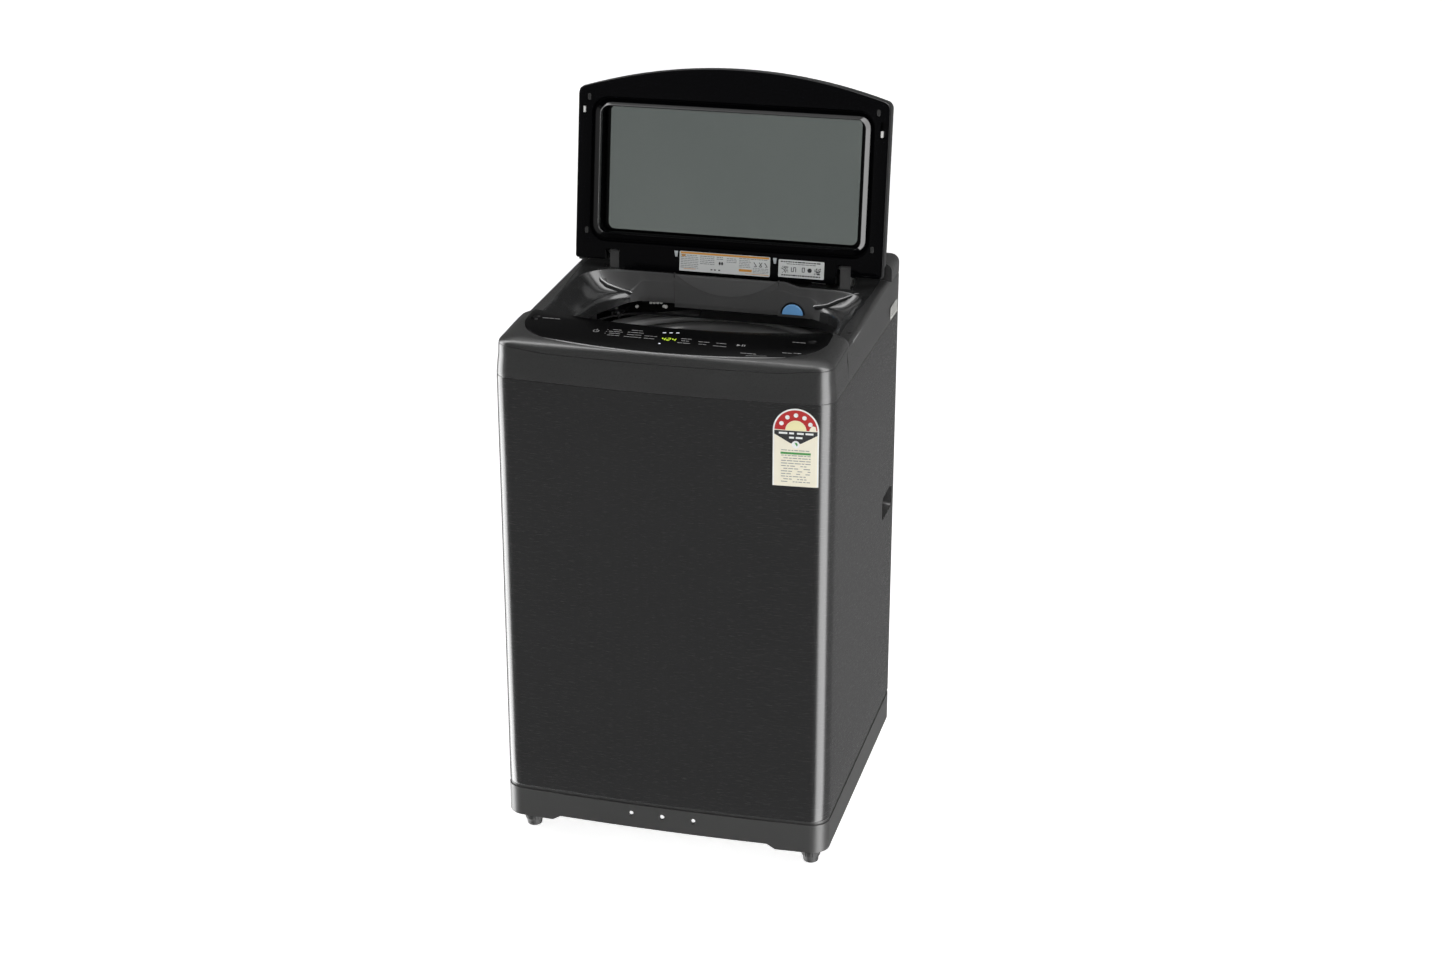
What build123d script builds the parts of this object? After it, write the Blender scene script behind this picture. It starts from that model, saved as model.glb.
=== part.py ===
"""Top load washing machine: outer shell, lid, basin, suspended tub, drum, drive and drain.

Millimetres. +X is the right side seen from the front, +Y points to the rear, +Z is up.
The floor is z = 0. The lid is modelled standing open, resting on its stop.
"""
import os
from math import cos, hypot, pi, radians, sin

from build123d import *

os.makedirs("parts", exist_ok=True)

STANDING = (Align.CENTER, Align.CENTER, Align.MIN)
BEHIND = (Align.CENTER, Align.MIN, Align.MIN)

# ---------------------------------------------------------------- driving dimensions
WIDTH = 590.0
HALF_W = WIDTH / 2
FRONT_Y = -287.0
REAR_Y = 278.0
BULGE_TOP = 16.0
BULGE_BOTTOM = 10.0
FRONT_R = 32.0
REAR_R = 20.0
REAR_REACH = 303.0

BASE_BOTTOM = 41.5
BASE_TOP = 101.4
COVER_SEAM = 871.0
SHEET = 1.0
COVER_WALL = 3.0

PIVOT_Y = 167.5
PIVOT_Z = 971.0
LID_LEAN = 7.5
LID_FALL = 2.7
FALL = sin(radians(LID_FALL)) / cos(radians(LID_FALL))
DECK_REAR_Z = 947.0
DECK_T = 3.0
SUPER_POINTS = 24

PANEL_SIDE_Y = -135.0
PANEL_MID_Y = -180.5
PANEL_REAR_Z = 947.0
PANEL_RISE = 0.089
FACIA_T = 4.0

TUB_R = 248.0
TUB_WALL = 3.0
TUB_BOTTOM = 232.0
TUB_TOP = 838.0
DRUM_R = 233.0
DRUM_BOTTOM = 262.0
DRUM_TOP = 800.0

ROD_X = 238.0
ROD_Y = 226.0
ROD_R = 4.0
LUG_Z = 430.0
SEAT_Z = 345.0
BRACKET_Z = 846.0

FOOT_X = 258.0
FOOT_FRONT_Y = -240.0
FOOT_REAR_Y = 238.0
STUD_R = 4.0
RUN = 0.05


def save(part, name):
    """Label one finished piece and write its file."""
    part.label = name
    export_step(part, f"parts/{name}.step")


def deck_z(y):
    """Height of the deck surface at depth y."""
    return DECK_REAR_Z - (162.5 - y) * FALL


def panel_z(y):
    """Height of the control panel surface at depth y."""
    return PANEL_REAR_Z + (y - PANEL_MID_Y) * PANEL_RISE


def body_outline(bulge, inset=0.0):
    """Plan outline of the body: bowed front, rounded corners."""
    half = HALF_W - inset
    front = FRONT_Y + inset
    rear = REAR_Y - inset
    with BuildSketch(mode=Mode.PRIVATE) as sketch:
        with BuildLine():
            Polyline((-half, front), (-half, rear), (half, rear), (half, front))
            ThreePointArc((half, front), (0, front - bulge), (-half, front))
        make_face()
        fillet([v for v in sketch.vertices() if abs(v.Y - front) < 1e-6], max(FRONT_R - inset, 3))
        fillet([v for v in sketch.vertices() if abs(v.Y - rear) < 1e-6], max(REAR_R - inset, 3))
    return sketch.sketch


def super_ellipse(half_x, half_y, centre_y, power, z):
    """Closed smooth outline used for the basin and its throat."""
    points = []
    for k in range(SUPER_POINTS):
        a = 2 * pi * (k + 0.5) / SUPER_POINTS
        cx = cos(a)
        cy = sin(a)
        x = half_x * abs(cx) ** (2 / power) * (1 if cx > 0 else -1)
        y = centre_y + half_y * abs(cy) ** (2 / power) * (1 if cy > 0 else -1)
        points.append((x, y))
    with BuildSketch(Plane.XY.offset(z), mode=Mode.PRIVATE) as sketch:
        with BuildLine():
            Spline(*points, periodic=True)
        make_face()
    return sketch.sketch


def divided(solids, planes):
    """Cut solids along planes and keep every part as a touching solid of the same piece."""
    with BuildPart(mode=Mode.PRIVATE) as parts:
        add(solids)
        for plane in planes:
            split(bisect_by=plane, keep=Keep.BOTH)
    return list(parts.solids())


# ---------------------------------------------------------------- base and feet
BOSS = 74.0
with BuildPart() as base:
    with BuildSketch(Plane.XY.offset(BASE_BOTTOM)):
        add(body_outline(BULGE_BOTTOM))
        add(body_outline(BULGE_BOTTOM, 4.0), mode=Mode.SUBTRACT)
    extrude(amount=BASE_TOP - BASE_BOTTOM - 6)
    with BuildSketch(Plane.XY.offset(BASE_TOP - 6)):
        add(body_outline(BULGE_BOTTOM - 1, 2.0))
        add(body_outline(BULGE_BOTTOM, 34.0), mode=Mode.SUBTRACT)
    extrude(amount=6)
    with BuildSketch(Plane.XY.offset(BASE_BOTTOM)):
        for sx in (-1, 1):
            for y in (FOOT_FRONT_Y, FOOT_REAR_Y):
                with Locations((sx * FOOT_X, y)):
                    Rectangle(60, 60)
        add(body_outline(BULGE_BOTTOM, 2.0), mode=Mode.INTERSECT)
    extrude(amount=BASE_TOP - BASE_BOTTOM)
    with Locations((0, 0, BASE_BOTTOM)):
        with Locations((FOOT_X, FOOT_FRONT_Y, 0), (-FOOT_X, FOOT_FRONT_Y, 0)):
            Cylinder(STUD_R + RUN, 120, mode=Mode.SUBTRACT)
        with Locations((FOOT_X, FOOT_REAR_Y, 0), (-FOOT_X, FOOT_REAR_Y, 0)):
            Cylinder(STUD_R, 60, mode=Mode.SUBTRACT)
    with BuildSketch(Plane.XZ.offset(-FRONT_Y - 30)):
        with BuildLine():
            Polyline((-205, BASE_BOTTOM), (-190, BASE_BOTTOM + 9), (190, BASE_BOTTOM + 9),
                     (205, BASE_BOTTOM), close=True)
        make_face()
    extrude(amount=60, mode=Mode.SUBTRACT)
    with Locations(*[(x, FRONT_Y - BULGE_BOTTOM, 77) for x in (-57, 0, 57)]):
        Sphere(5.5, mode=Mode.SUBTRACT)
save(base.part, "base")

KNURLS = 20
for side, sx in (("left", -1), ("right", 1)):
    with BuildPart() as foot:
        with BuildSketch(Plane.XZ) as profile:
            with BuildLine():
                Polyline((0, 0), (13, 0), (14, 2), (14.5, 9), (17, 14), (17, 31), (9, 33), (9, 34),
                         (STUD_R, 34), (STUD_R, 96), (0, 96), close=True)
            make_face()
        revolve(axis=Axis.Z)
        with BuildSketch(Plane.XY.offset(16)):
            with PolarLocations(17.2, KNURLS):
                Circle(1.1)
        extrude(amount=13, mode=Mode.SUBTRACT)
    save(foot.part.moved(Location((sx * FOOT_X, FOOT_FRONT_Y, 0))), f"front_foot_{side}")

with BuildPart() as lock_nuts:
    with BuildSketch(Plane.XY.offset(BASE_BOTTOM - 6.5)):
        for sx in (-1, 1):
            with Locations((sx * FOOT_X, FOOT_FRONT_Y)):
                RegularPolygon(8.5, 6)
                Circle(STUD_R + RUN, mode=Mode.SUBTRACT)
    extrude(amount=6.5)
save(lock_nuts.part, "foot_lock_nuts")

with BuildPart() as rear_feet:
    for sx in (-1, 1):
        with BuildSketch(Plane.XY):
            with Locations((sx * FOOT_X, FOOT_REAR_Y)):
                Circle(14)
        extrude(amount=10)
        with BuildSketch(Plane.XY.offset(10)):
            with Locations((sx * FOOT_X, FOOT_REAR_Y)):
                Circle(17.5)
        extrude(amount=BASE_BOTTOM - 10)
        with Locations((sx * FOOT_X, FOOT_REAR_Y, BASE_BOTTOM)):
            Cylinder(STUD_R, 20, align=STANDING)
save(rear_feet.part, "rear_feet")

# ---------------------------------------------------------------- cabinet
GRIP_Y = 199.0
GRIP_Z = 517.0
GRIP_LEN = 88.0
GRIP_HIGH = 46.0
GRIP_DEEP = 20.0
BACK_HALF = 224.0
BACK_LOW = 150.0
BACK_HIGH = 800.0
LAP = 14.0
DRAIN_X = -248.0
GLAND_X = 248.0
OUTLET_Z = 820.0


def cabinet_volume(inset):
    """Lofted body volume between the base and the top cover."""
    low = body_outline(BULGE_BOTTOM, inset).moved(Location((0, 0, BASE_TOP)))
    high = body_outline(BULGE_TOP, inset).moved(Location((0, 0, COVER_SEAM)))
    return Solid.make_loft([low.face().outer_wire(), high.face().outer_wire()], True)


FLAT_X = 261.0
GAP_X = 209.0
FLAT_FRONT_Y = -253.0
FLAT_REAR_Y = 256.0
with BuildPart() as cabinet:
    add(cabinet_volume(0))
    add(cabinet_volume(SHEET), mode=Mode.SUBTRACT)
    with BuildSketch(Plane.XY.offset(COVER_SEAM - SHEET)):
        add(body_outline(BULGE_TOP, SHEET + 0.05))
        add(body_outline(BULGE_TOP, 16), mode=Mode.SUBTRACT)
    extrude(amount=SHEET)
    with BuildSketch(Plane.XZ.offset(-REAR_Y - 5)):
        with Locations((0, (BACK_LOW + BACK_HIGH) / 2)):
            RectangleRounded(2 * (BACK_HALF - LAP), BACK_HIGH - BACK_LOW - 2 * LAP, 12)
        with Locations((DRAIN_X, OUTLET_Z), (GLAND_X, OUTLET_Z)):
            Circle(10)
    extrude(amount=20, mode=Mode.SUBTRACT)
    for sx in (-1, 1):
        with BuildSketch(Plane.YZ.offset(sx * HALF_W)):
            with Locations((GRIP_Y, GRIP_Z)):
                RectangleRounded(GRIP_LEN, GRIP_HIGH, 12)
        extrude(amount=6, both=True, mode=Mode.SUBTRACT)
upright = [Plane.YZ.offset(x) for x in (-FLAT_X, -GAP_X, GAP_X, FLAT_X)]
across = [Plane.XZ.offset(-y) for y in (FLAT_FRONT_Y, FLAT_REAR_Y)]
round_grip = [Plane.XZ.offset(-GRIP_Y - GRIP_LEN / 2), Plane.XZ.offset(-GRIP_Y + GRIP_LEN / 2),
              Plane.XY.offset(GRIP_Z - GRIP_HIGH / 2), Plane.XY.offset(GRIP_Z + GRIP_HIGH / 2)]
cabinet_solids = divided(cabinet.solids(), upright + across)
side_walls = [s for s in cabinet_solids if abs(s.center().X) > HALF_W - SHEET]
other_walls = [s for s in cabinet_solids if s not in side_walls]
save(Compound(other_walls + divided(side_walls, round_grip)), "cabinet")

with BuildPart() as grip_cups:
    for sx in (-1, 1):
        with BuildSketch(Plane.YZ.offset(sx * (HALF_W - SHEET))):
            with Locations((GRIP_Y, GRIP_Z)):
                RectangleRounded(GRIP_LEN + 12, GRIP_HIGH + 12, 16)
        extrude(amount=-sx * GRIP_DEEP)
        with BuildSketch(Plane.YZ.offset(sx * (HALF_W - SHEET))):
            with Locations((GRIP_Y, GRIP_Z)):
                RectangleRounded(GRIP_LEN, GRIP_HIGH, 12)
        extrude(amount=-sx * (GRIP_DEEP - 2.5), taper=12, mode=Mode.SUBTRACT)
save(grip_cups.part, "grip_cups")

RIB_PITCH = 90.0
SCREW_Z = [BACK_LOW + 7 + k * (BACK_HIGH - BACK_LOW - 14) / 4 for k in range(5)]
with BuildPart() as back_panel:
    with BuildSketch(Plane.XZ.offset(-REAR_Y - SHEET)):
        with Locations((0, (BACK_LOW + BACK_HIGH) / 2)):
            RectangleRounded(2 * BACK_HALF, BACK_HIGH - BACK_LOW, 10)
        for sx in (-1, 1):
            with Locations(*[(sx * (BACK_HALF - 7), z) for z in SCREW_Z]):
                Circle(2.2, mode=Mode.SUBTRACT)
    extrude(amount=SHEET)
    for k in range(5):
        with Locations((0, REAR_Y + SHEET, 300 + k * RIB_PITCH)):
            Box(330, 8, 18, align=(Align.CENTER, Align.CENTER, Align.CENTER))
    with BuildSketch(Plane.XZ.offset(-REAR_Y)):
        for k in range(5):
            with Locations((0, 300 + k * RIB_PITCH)):
                Rectangle(327, 15)
    extrude(amount=3.5, both=True, mode=Mode.SUBTRACT)
    with Locations((0, REAR_Y - 10, 480)):
        Box(400, 20, 600, mode=Mode.SUBTRACT)
save(back_panel.part, "back_panel")

with BuildPart() as panel_screws:
    for sx in (-1, 1):
        with BuildSketch(Plane.XZ.offset(-REAR_Y - SHEET)):
            with Locations(*[(sx * (BACK_HALF - 7), z) for z in SCREW_Z]):
                Circle(4)
        extrude(amount=-2)
        with BuildSketch(Plane.XZ.offset(-REAR_Y - SHEET)):
            with Locations(*[(sx * (BACK_HALF - 7), z) for z in SCREW_Z]):
                Circle(2.1)
        extrude(amount=SHEET)
save(panel_screws.part, "back_panel_screws")

# ---------------------------------------------------------------- top cover
TOP = 1010.0
INLET_X = (150.0, 206.0)
INLET_Z = 961.0
INLET_R = 13.2


def panel_arc_region(gap=0.0, front=FRONT_Y - 40):
    """Plan area in front of the bowed rear edge of the control panel."""
    with BuildSketch(mode=Mode.PRIVATE) as sketch:
        with BuildLine():
            ThreePointArc((-HALF_W - 5, PANEL_SIDE_Y + gap), (0, PANEL_MID_Y + gap),
                          (HALF_W + 5, PANEL_SIDE_Y + gap))
            Polyline((HALF_W + 5, PANEL_SIDE_Y + gap), (HALF_W + 5, front), (-HALF_W - 5, front),
                     (-HALF_W - 5, PANEL_SIDE_Y + gap))
        make_face()
    return sketch.sketch


def above_panel(lift=0.0):
    """Side profile of everything above the panel surface."""
    rear = 0.0
    with BuildSketch(Plane.YZ, mode=Mode.PRIVATE) as sketch:
        with BuildLine():
            Polyline((FRONT_Y - 40, panel_z(FRONT_Y - 40) + lift), (rear, panel_z(rear) + lift),
                     (rear, TOP), (FRONT_Y - 40, TOP), close=True)
        make_face()
    return sketch.sketch


def above_deck(lift=0.0):
    """Side profile of everything above the deck surface."""
    with BuildSketch(Plane.YZ, mode=Mode.PRIVATE) as sketch:
        with BuildLine():
            Polyline((FRONT_Y - 40, deck_z(FRONT_Y - 40) + lift), (REAR_REACH, deck_z(REAR_REACH) + lift),
                     (REAR_REACH, TOP), (FRONT_Y - 40, TOP), close=True)
        make_face()
    return sketch.sketch


with BuildPart() as front_block:
    with BuildSketch(Plane.XY.offset(COVER_SEAM)):
        add(body_outline(BULGE_TOP))
        add(panel_arc_region(), mode=Mode.INTERSECT)
    extrude(amount=90)
    extrude(above_panel(), amount=400, both=True, mode=Mode.SUBTRACT)
    rim = [e for e in front_block.edges()
           if e.center().Z > COVER_SEAM + 30 and e.center().Y < PANEL_SIDE_Y - 1
           and abs(e.tangent_at(0.5).Z) < 0.5 and e.center().Y < PANEL_MID_Y + 20
           and not (abs(e.center().X) < 1 and e.center().Y > FRONT_Y + 40)]
    fillet(rim, 13)

with BuildPart() as top_cover:
    with BuildSketch(Plane.XY.offset(COVER_SEAM)):
        add(body_outline(BULGE_TOP))
        add(body_outline(BULGE_TOP, COVER_WALL), mode=Mode.SUBTRACT)
    extrude(amount=90)
    extrude(above_deck(-DECK_T), amount=400, both=True, mode=Mode.SUBTRACT)
    with BuildSketch(Plane.XY.offset(COVER_SEAM)):
        add(panel_arc_region())
    extrude(amount=120, mode=Mode.SUBTRACT)
    add(front_block.part)
    with BuildSketch(Plane.XY.offset(COVER_SEAM)):
        add(body_outline(BULGE_TOP, COVER_WALL + 1))
        add(panel_arc_region(-COVER_WALL), mode=Mode.INTERSECT)
    extrude(amount=PANEL_REAR_Z - COVER_SEAM - 26, mode=Mode.SUBTRACT)
    with BuildSketch(Plane.XY.offset(COVER_SEAM)):
        with Locations((0, -232)):
            Rectangle(440, 70)
    extrude(amount=PANEL_REAR_Z - COVER_SEAM - 14, mode=Mode.SUBTRACT)
    with BuildSketch(Plane.XZ.offset(-REAR_Y - 5)):
        with Locations(*[(x, INLET_Z) for x in INLET_X]):
            Circle(INLET_R + 0.3)
    extrude(amount=20, mode=Mode.SUBTRACT)
    with Locations((HALF_W, 218, 886)):
        Box(0.6, 66, 24, mode=Mode.SUBTRACT)

FACIA_SIDE = 264.0
with BuildPart() as facia:
    with BuildSketch(Plane.XY.offset(COVER_SEAM)):
        with BuildLine():
            ThreePointArc((-196, -266), (0, -288), (196, -266))
            ThreePointArc((196, -266), (243, -240), (FACIA_SIDE, -196))
            Line((FACIA_SIDE, -196), (FACIA_SIDE, -100))
            Line((FACIA_SIDE, -100), (-FACIA_SIDE, -100))
            Line((-FACIA_SIDE, -100), (-FACIA_SIDE, -196))
            ThreePointArc((-FACIA_SIDE, -196), (-243, -240), (-196, -266))
        make_face()
        add(panel_arc_region(-1.0), mode=Mode.INTERSECT)
    extrude(amount=100)
    extrude(above_panel(), amount=400, both=True, mode=Mode.SUBTRACT)
    with BuildSketch(Plane.YZ):
        with BuildLine():
            Polyline((FRONT_Y - 40, panel_z(FRONT_Y - 40) - FACIA_T), (0, panel_z(0) - FACIA_T),
                     (0, 0), (FRONT_Y - 40, 0), close=True)
        make_face()
    extrude(amount=400, both=True, mode=Mode.SUBTRACT)
with BuildPart() as cover_done:
    add(top_cover.part)
    add(facia.part, mode=Mode.SUBTRACT)
save(cover_done.part, "top_cover")

DIMPLE_X = 236.0
DIMPLE_Y = -190.0
with BuildPart() as facia_done:
    add(facia.part)
    for x in (-DIMPLE_X, DIMPLE_X):
        with Locations((x, DIMPLE_Y, panel_z(DIMPLE_Y) + 15)):
            Sphere(17, mode=Mode.SUBTRACT)
save(facia_done.part, "panel_facia")

with BuildPart() as display_board:
    with Locations((0, -232, 924.8)):
        Box(240, 54, 1.6)
    with Locations((-20, -232, 929)):
        Box(52, 20, 6.8)
    with Locations(*[(x, -232, 927) for x in (-100, -80, 40, 70, 100)]):
        Cylinder(5, 3)
save(display_board.part, "display_board")

# ---------------------------------------------------------------- basin and rear cover
RIM_HALF = (255.0, 165.0)
RIM_Y = -20.0
THROAT_HALF = (221.0, 170.0)
THROAT_Y = -22.0
THROAT_BOTTOM = 864.0
TROUGH_HALF = 232.0
TROUGH_FRONT = 149.0
TROUGH_REAR = 197.0
TROUGH_FLOOR = 930.0
REAR_COVER_Y = 190.0
DRAWER_HALF = 99.5
DRAWER_LOW = 889.5
DRAWER_HIGH = 936.5
LOCK_X = 278.0
LOCK_Y = -90.0


def basin_volume(grow):
    """Funnel from the rim down to the throat, grown outward by a wall thickness."""
    top = super_ellipse(RIM_HALF[0] + grow, RIM_HALF[1] + grow, RIM_Y, 5, 956)
    low = super_ellipse(THROAT_HALF[0] + grow, THROAT_HALF[1] + grow, THROAT_Y, 3.6, THROAT_BOTTOM)
    return Solid.make_loft([top.face().outer_wire(), low.face().outer_wire()], True)


FLAP_X = 125.0
FLAP_Z = 886.0
FLAP_Y = 139.0
FLAP_R = 19.0


def half_disc(radius, x, z):
    """Upper half of a disc with its flat edge at height z."""
    with BuildSketch(mode=Mode.PRIVATE) as sketch:
        with BuildLine():
            Line((x - radius, z), (x + radius, z))
            ThreePointArc((x + radius, z), (x, z + radius), (x - radius, z))
        make_face()
    return sketch.sketch


with BuildPart() as softener_port:
    with BuildSketch(Plane.XZ.offset(-FLAP_Y)):
        add(half_disc(FLAP_R + 1.5, FLAP_X, FLAP_Z - 1))
        add(half_disc(FLAP_R - 5, FLAP_X, FLAP_Z + 2), mode=Mode.SUBTRACT)
    extrude(amount=-20)
    add(basin_volume(0.5), mode=Mode.INTERSECT)

with BuildPart() as deck:
    with BuildSketch(Plane.XY.offset(THROAT_BOTTOM)):
        with Locations((0, 0)):
            Rectangle(WIDTH - 1, 2 * (REAR_COVER_Y - 0.5))
        add(body_outline(BULGE_TOP, 0.5), mode=Mode.INTERSECT)
        add(panel_arc_region(0.3), mode=Mode.SUBTRACT)
    extrude(amount=120)
    with BuildSketch(Plane.YZ):
        with BuildLine():
            Polyline((FRONT_Y, deck_z(FRONT_Y) - DECK_T), (REAR_REACH, deck_z(REAR_REACH) - DECK_T),
                     (REAR_REACH, 800), (FRONT_Y, 800), close=True)
        make_face()
    extrude(amount=400, both=True, mode=Mode.SUBTRACT)
    add(basin_volume(3.0))
    with Locations((0, (TROUGH_FRONT + TROUGH_REAR) / 2, TROUGH_FLOOR - 3)):
        Box(2 * TROUGH_HALF + 6, TROUGH_REAR - TROUGH_FRONT + 6, 30, align=STANDING)
    extrude(above_deck(), amount=400, both=True, mode=Mode.SUBTRACT)
    add(basin_volume(0), mode=Mode.SUBTRACT)
    with Locations((0, (TROUGH_FRONT + TROUGH_REAR) / 2, TROUGH_FLOOR)):
        Box(2 * TROUGH_HALF, TROUGH_REAR - TROUGH_FRONT, 40, align=STANDING, mode=Mode.SUBTRACT)
    with Locations((0, TROUGH_FRONT, DRAWER_HIGH + 1)):
        Box(2 * TROUGH_HALF, 30, 40, align=STANDING, mode=Mode.SUBTRACT)
    with Locations((0, 146, DRAWER_LOW - 1)):
        Box(2 * DRAWER_HALF + 2, 40, 60, align=(Align.CENTER, Align.MAX, Align.MIN), mode=Mode.SUBTRACT)
    with Locations((0, 120, DRAWER_LOW - 1)):
        Box(2 * DRAWER_HALF + 2, 32, 35, align=BEHIND, mode=Mode.SUBTRACT)
    add(front_block.part, mode=Mode.SUBTRACT)
    with Locations((LOCK_X, LOCK_Y, 930)):
        Box(6, 11, 40, mode=Mode.SUBTRACT)
    add(softener_port.part)
save(deck.part, "deck")

HUMP_TOP = PIVOT_Z + 7
with BuildPart() as hump:
    with BuildSketch(Plane.XY.offset(930)):
        add(body_outline(BULGE_TOP))
        with Locations((0, REAR_COVER_Y - 500)):
            Rectangle(700, 1000, mode=Mode.SUBTRACT)
    extrude(amount=HUMP_TOP - 930)
    top_edges = [e for e in hump.edges()
                 if e.center().Z > HUMP_TOP - 0.1 and e.center().Y > REAR_COVER_Y + 1]
    fillet(top_edges, 14)
with BuildPart() as rear_cover:
    add(hump.part)
    with BuildSketch(Plane.XY.offset(930)):
        add(body_outline(BULGE_TOP, 4))
        with Locations((0, REAR_COVER_Y + COVER_WALL - 500)):
            Rectangle(700, 1000, mode=Mode.SUBTRACT)
    extrude(amount=HUMP_TOP - 930 - 16, mode=Mode.SUBTRACT)
    with BuildSketch(Plane.XY.offset(930)):
        add(body_outline(BULGE_TOP, 16))
        with Locations((0, REAR_COVER_Y + COVER_WALL - 500)):
            Rectangle(700, 1000, mode=Mode.SUBTRACT)
    extrude(amount=HUMP_TOP - 930 - COVER_WALL, mode=Mode.SUBTRACT)
    with Locations((0, REAR_COVER_Y, 930)):
        Box(2 * TROUGH_HALF + 6, 10, HUMP_TOP - 930 - 2, align=BEHIND)
    with Locations((0, REAR_COVER_Y - 1, 930)):
        Box(2 * TROUGH_HALF, 8, HUMP_TOP - 930 - 9, align=BEHIND, mode=Mode.SUBTRACT)
    with BuildSketch(Plane.YZ):
        with BuildLine():
            Polyline((0, deck_z(0) - DECK_T), (REAR_REACH, deck_z(REAR_REACH) - DECK_T),
                     (REAR_REACH, 800), (0, 800), close=True)
        make_face()
    extrude(amount=400, both=True, mode=Mode.SUBTRACT)
    with BuildSketch(Plane.XZ.offset(-REAR_Y - 5)):
        with Locations(*[(x, INLET_Z) for x in INLET_X]):
            Circle(INLET_R + 0.3)
    extrude(amount=32, mode=Mode.SUBTRACT)
    add(deck.part, mode=Mode.SUBTRACT)
save(rear_cover.part, "rear_cover")

# ---------------------------------------------------------------- lid, standing open
lean = radians(LID_LEAN)
UP = (0, sin(lean), cos(lean))
lid_plane = Plane(origin=(0, PIVOT_Y, PIVOT_Z), x_dir=(1, 0, 0), z_dir=(0, -cos(lean), sin(lean)))
side_plane = Plane(origin=(0, PIVOT_Y, PIVOT_Z), x_dir=UP, z_dir=(1, 0, 0))
LID_HALF = 287.0
LID_LOW = -12.0
LID_SIDE = 299.0
LID_MID = 344.0
LID_BACK = -7.0
LID_SPLIT = 8.0
LID_FACE = 22.5
GLASS_HALF = 239.0
GLASS_LOW = 36.0
GLASS_HIGH = 274.0
ARM_X = 216.0
ARM_HALF = 9.5
NOTCH_HALF = 13.0
NOTCH_TOP = 14.0
PIN_R = 2.5
PAD_HALF = 202.0


def lid_outline(inset):
    """Outline of the lid in its own plane, with the bowed free edge."""
    half = LID_HALF - inset
    with BuildSketch(mode=Mode.PRIVATE) as sketch:
        with BuildLine():
            Polyline((-half, LID_SIDE - inset), (-half, LID_LOW + inset), (half, LID_LOW + inset),
                     (half, LID_SIDE - inset))
            ThreePointArc((half, LID_SIDE - inset), (0, LID_MID - inset), (-half, LID_SIDE - inset))
        make_face()
        fillet([v for v in sketch.vertices() if v.Y > 100], max(14 - inset, 4))
        fillet([v for v in sketch.vertices() if v.Y < 100], max(5 - inset, 1.5))
    return sketch.sketch


def window(grow, radius):
    """Rounded window outline, grown outward."""
    high = GLASS_HIGH + grow
    low = GLASS_LOW - grow
    with BuildSketch(mode=Mode.PRIVATE) as sketch:
        with Locations((0, (high + low) / 2)):
            RectangleRounded(2 * (GLASS_HALF + grow), high - low, radius)
    return sketch.sketch


def notches():
    """The two hinge arm notches, in the plane of the lid."""
    with BuildSketch(mode=Mode.PRIVATE) as sketch:
        for sx in (-1, 1):
            with Locations((sx * ARM_X, NOTCH_TOP - 30)):
                Rectangle(2 * NOTCH_HALF, 60)
    return sketch.sketch


with BuildPart() as lid_outer:
    with BuildSketch(lid_plane.offset(LID_BACK)):
        add(lid_outline(0))
    extrude(amount=LID_SPLIT - LID_BACK)
    fillet([e for e in lid_outer.faces().sort_by(Axis.Y)[-1].edges()], 1.5)
    with BuildSketch(lid_plane.offset(LID_BACK + 2.5)):
        add(lid_outline(3))
    extrude(amount=20, mode=Mode.SUBTRACT)
    with BuildSketch(lid_plane.offset(LID_BACK + 2.5)):
        for sx in (-1, 1):
            with Locations(*[(sx * (ARM_X + s * (NOTCH_HALF + 4)), 1.5) for s in (-1, 1)]):
                Rectangle(8, 21)
    extrude(amount=LID_SPLIT - LID_BACK - 2.5)
    with BuildSketch(lid_plane.offset(LID_BACK - 1)):
        add(window(-6, 12))
    extrude(amount=5, mode=Mode.SUBTRACT)
    with BuildSketch(lid_plane.offset(LID_BACK - 5)):
        add(notches())
    extrude(amount=60, mode=Mode.SUBTRACT)
    for sx in (-1, 1):
        with Locations((sx * ARM_X, PIVOT_Y, PIVOT_Z)):
            Cylinder(PIN_R, 42, rotation=(0, 90, 0), mode=Mode.SUBTRACT)
save(lid_outer.part, "lid_outer_frame")

GLASS_W = LID_BACK + 2.5
with BuildPart() as lid_glass:
    with BuildSketch(lid_plane.offset(GLASS_W)):
        add(window(14, 16))
    extrude(amount=3.2)
save(lid_glass.part, "lid_glass")

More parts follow.
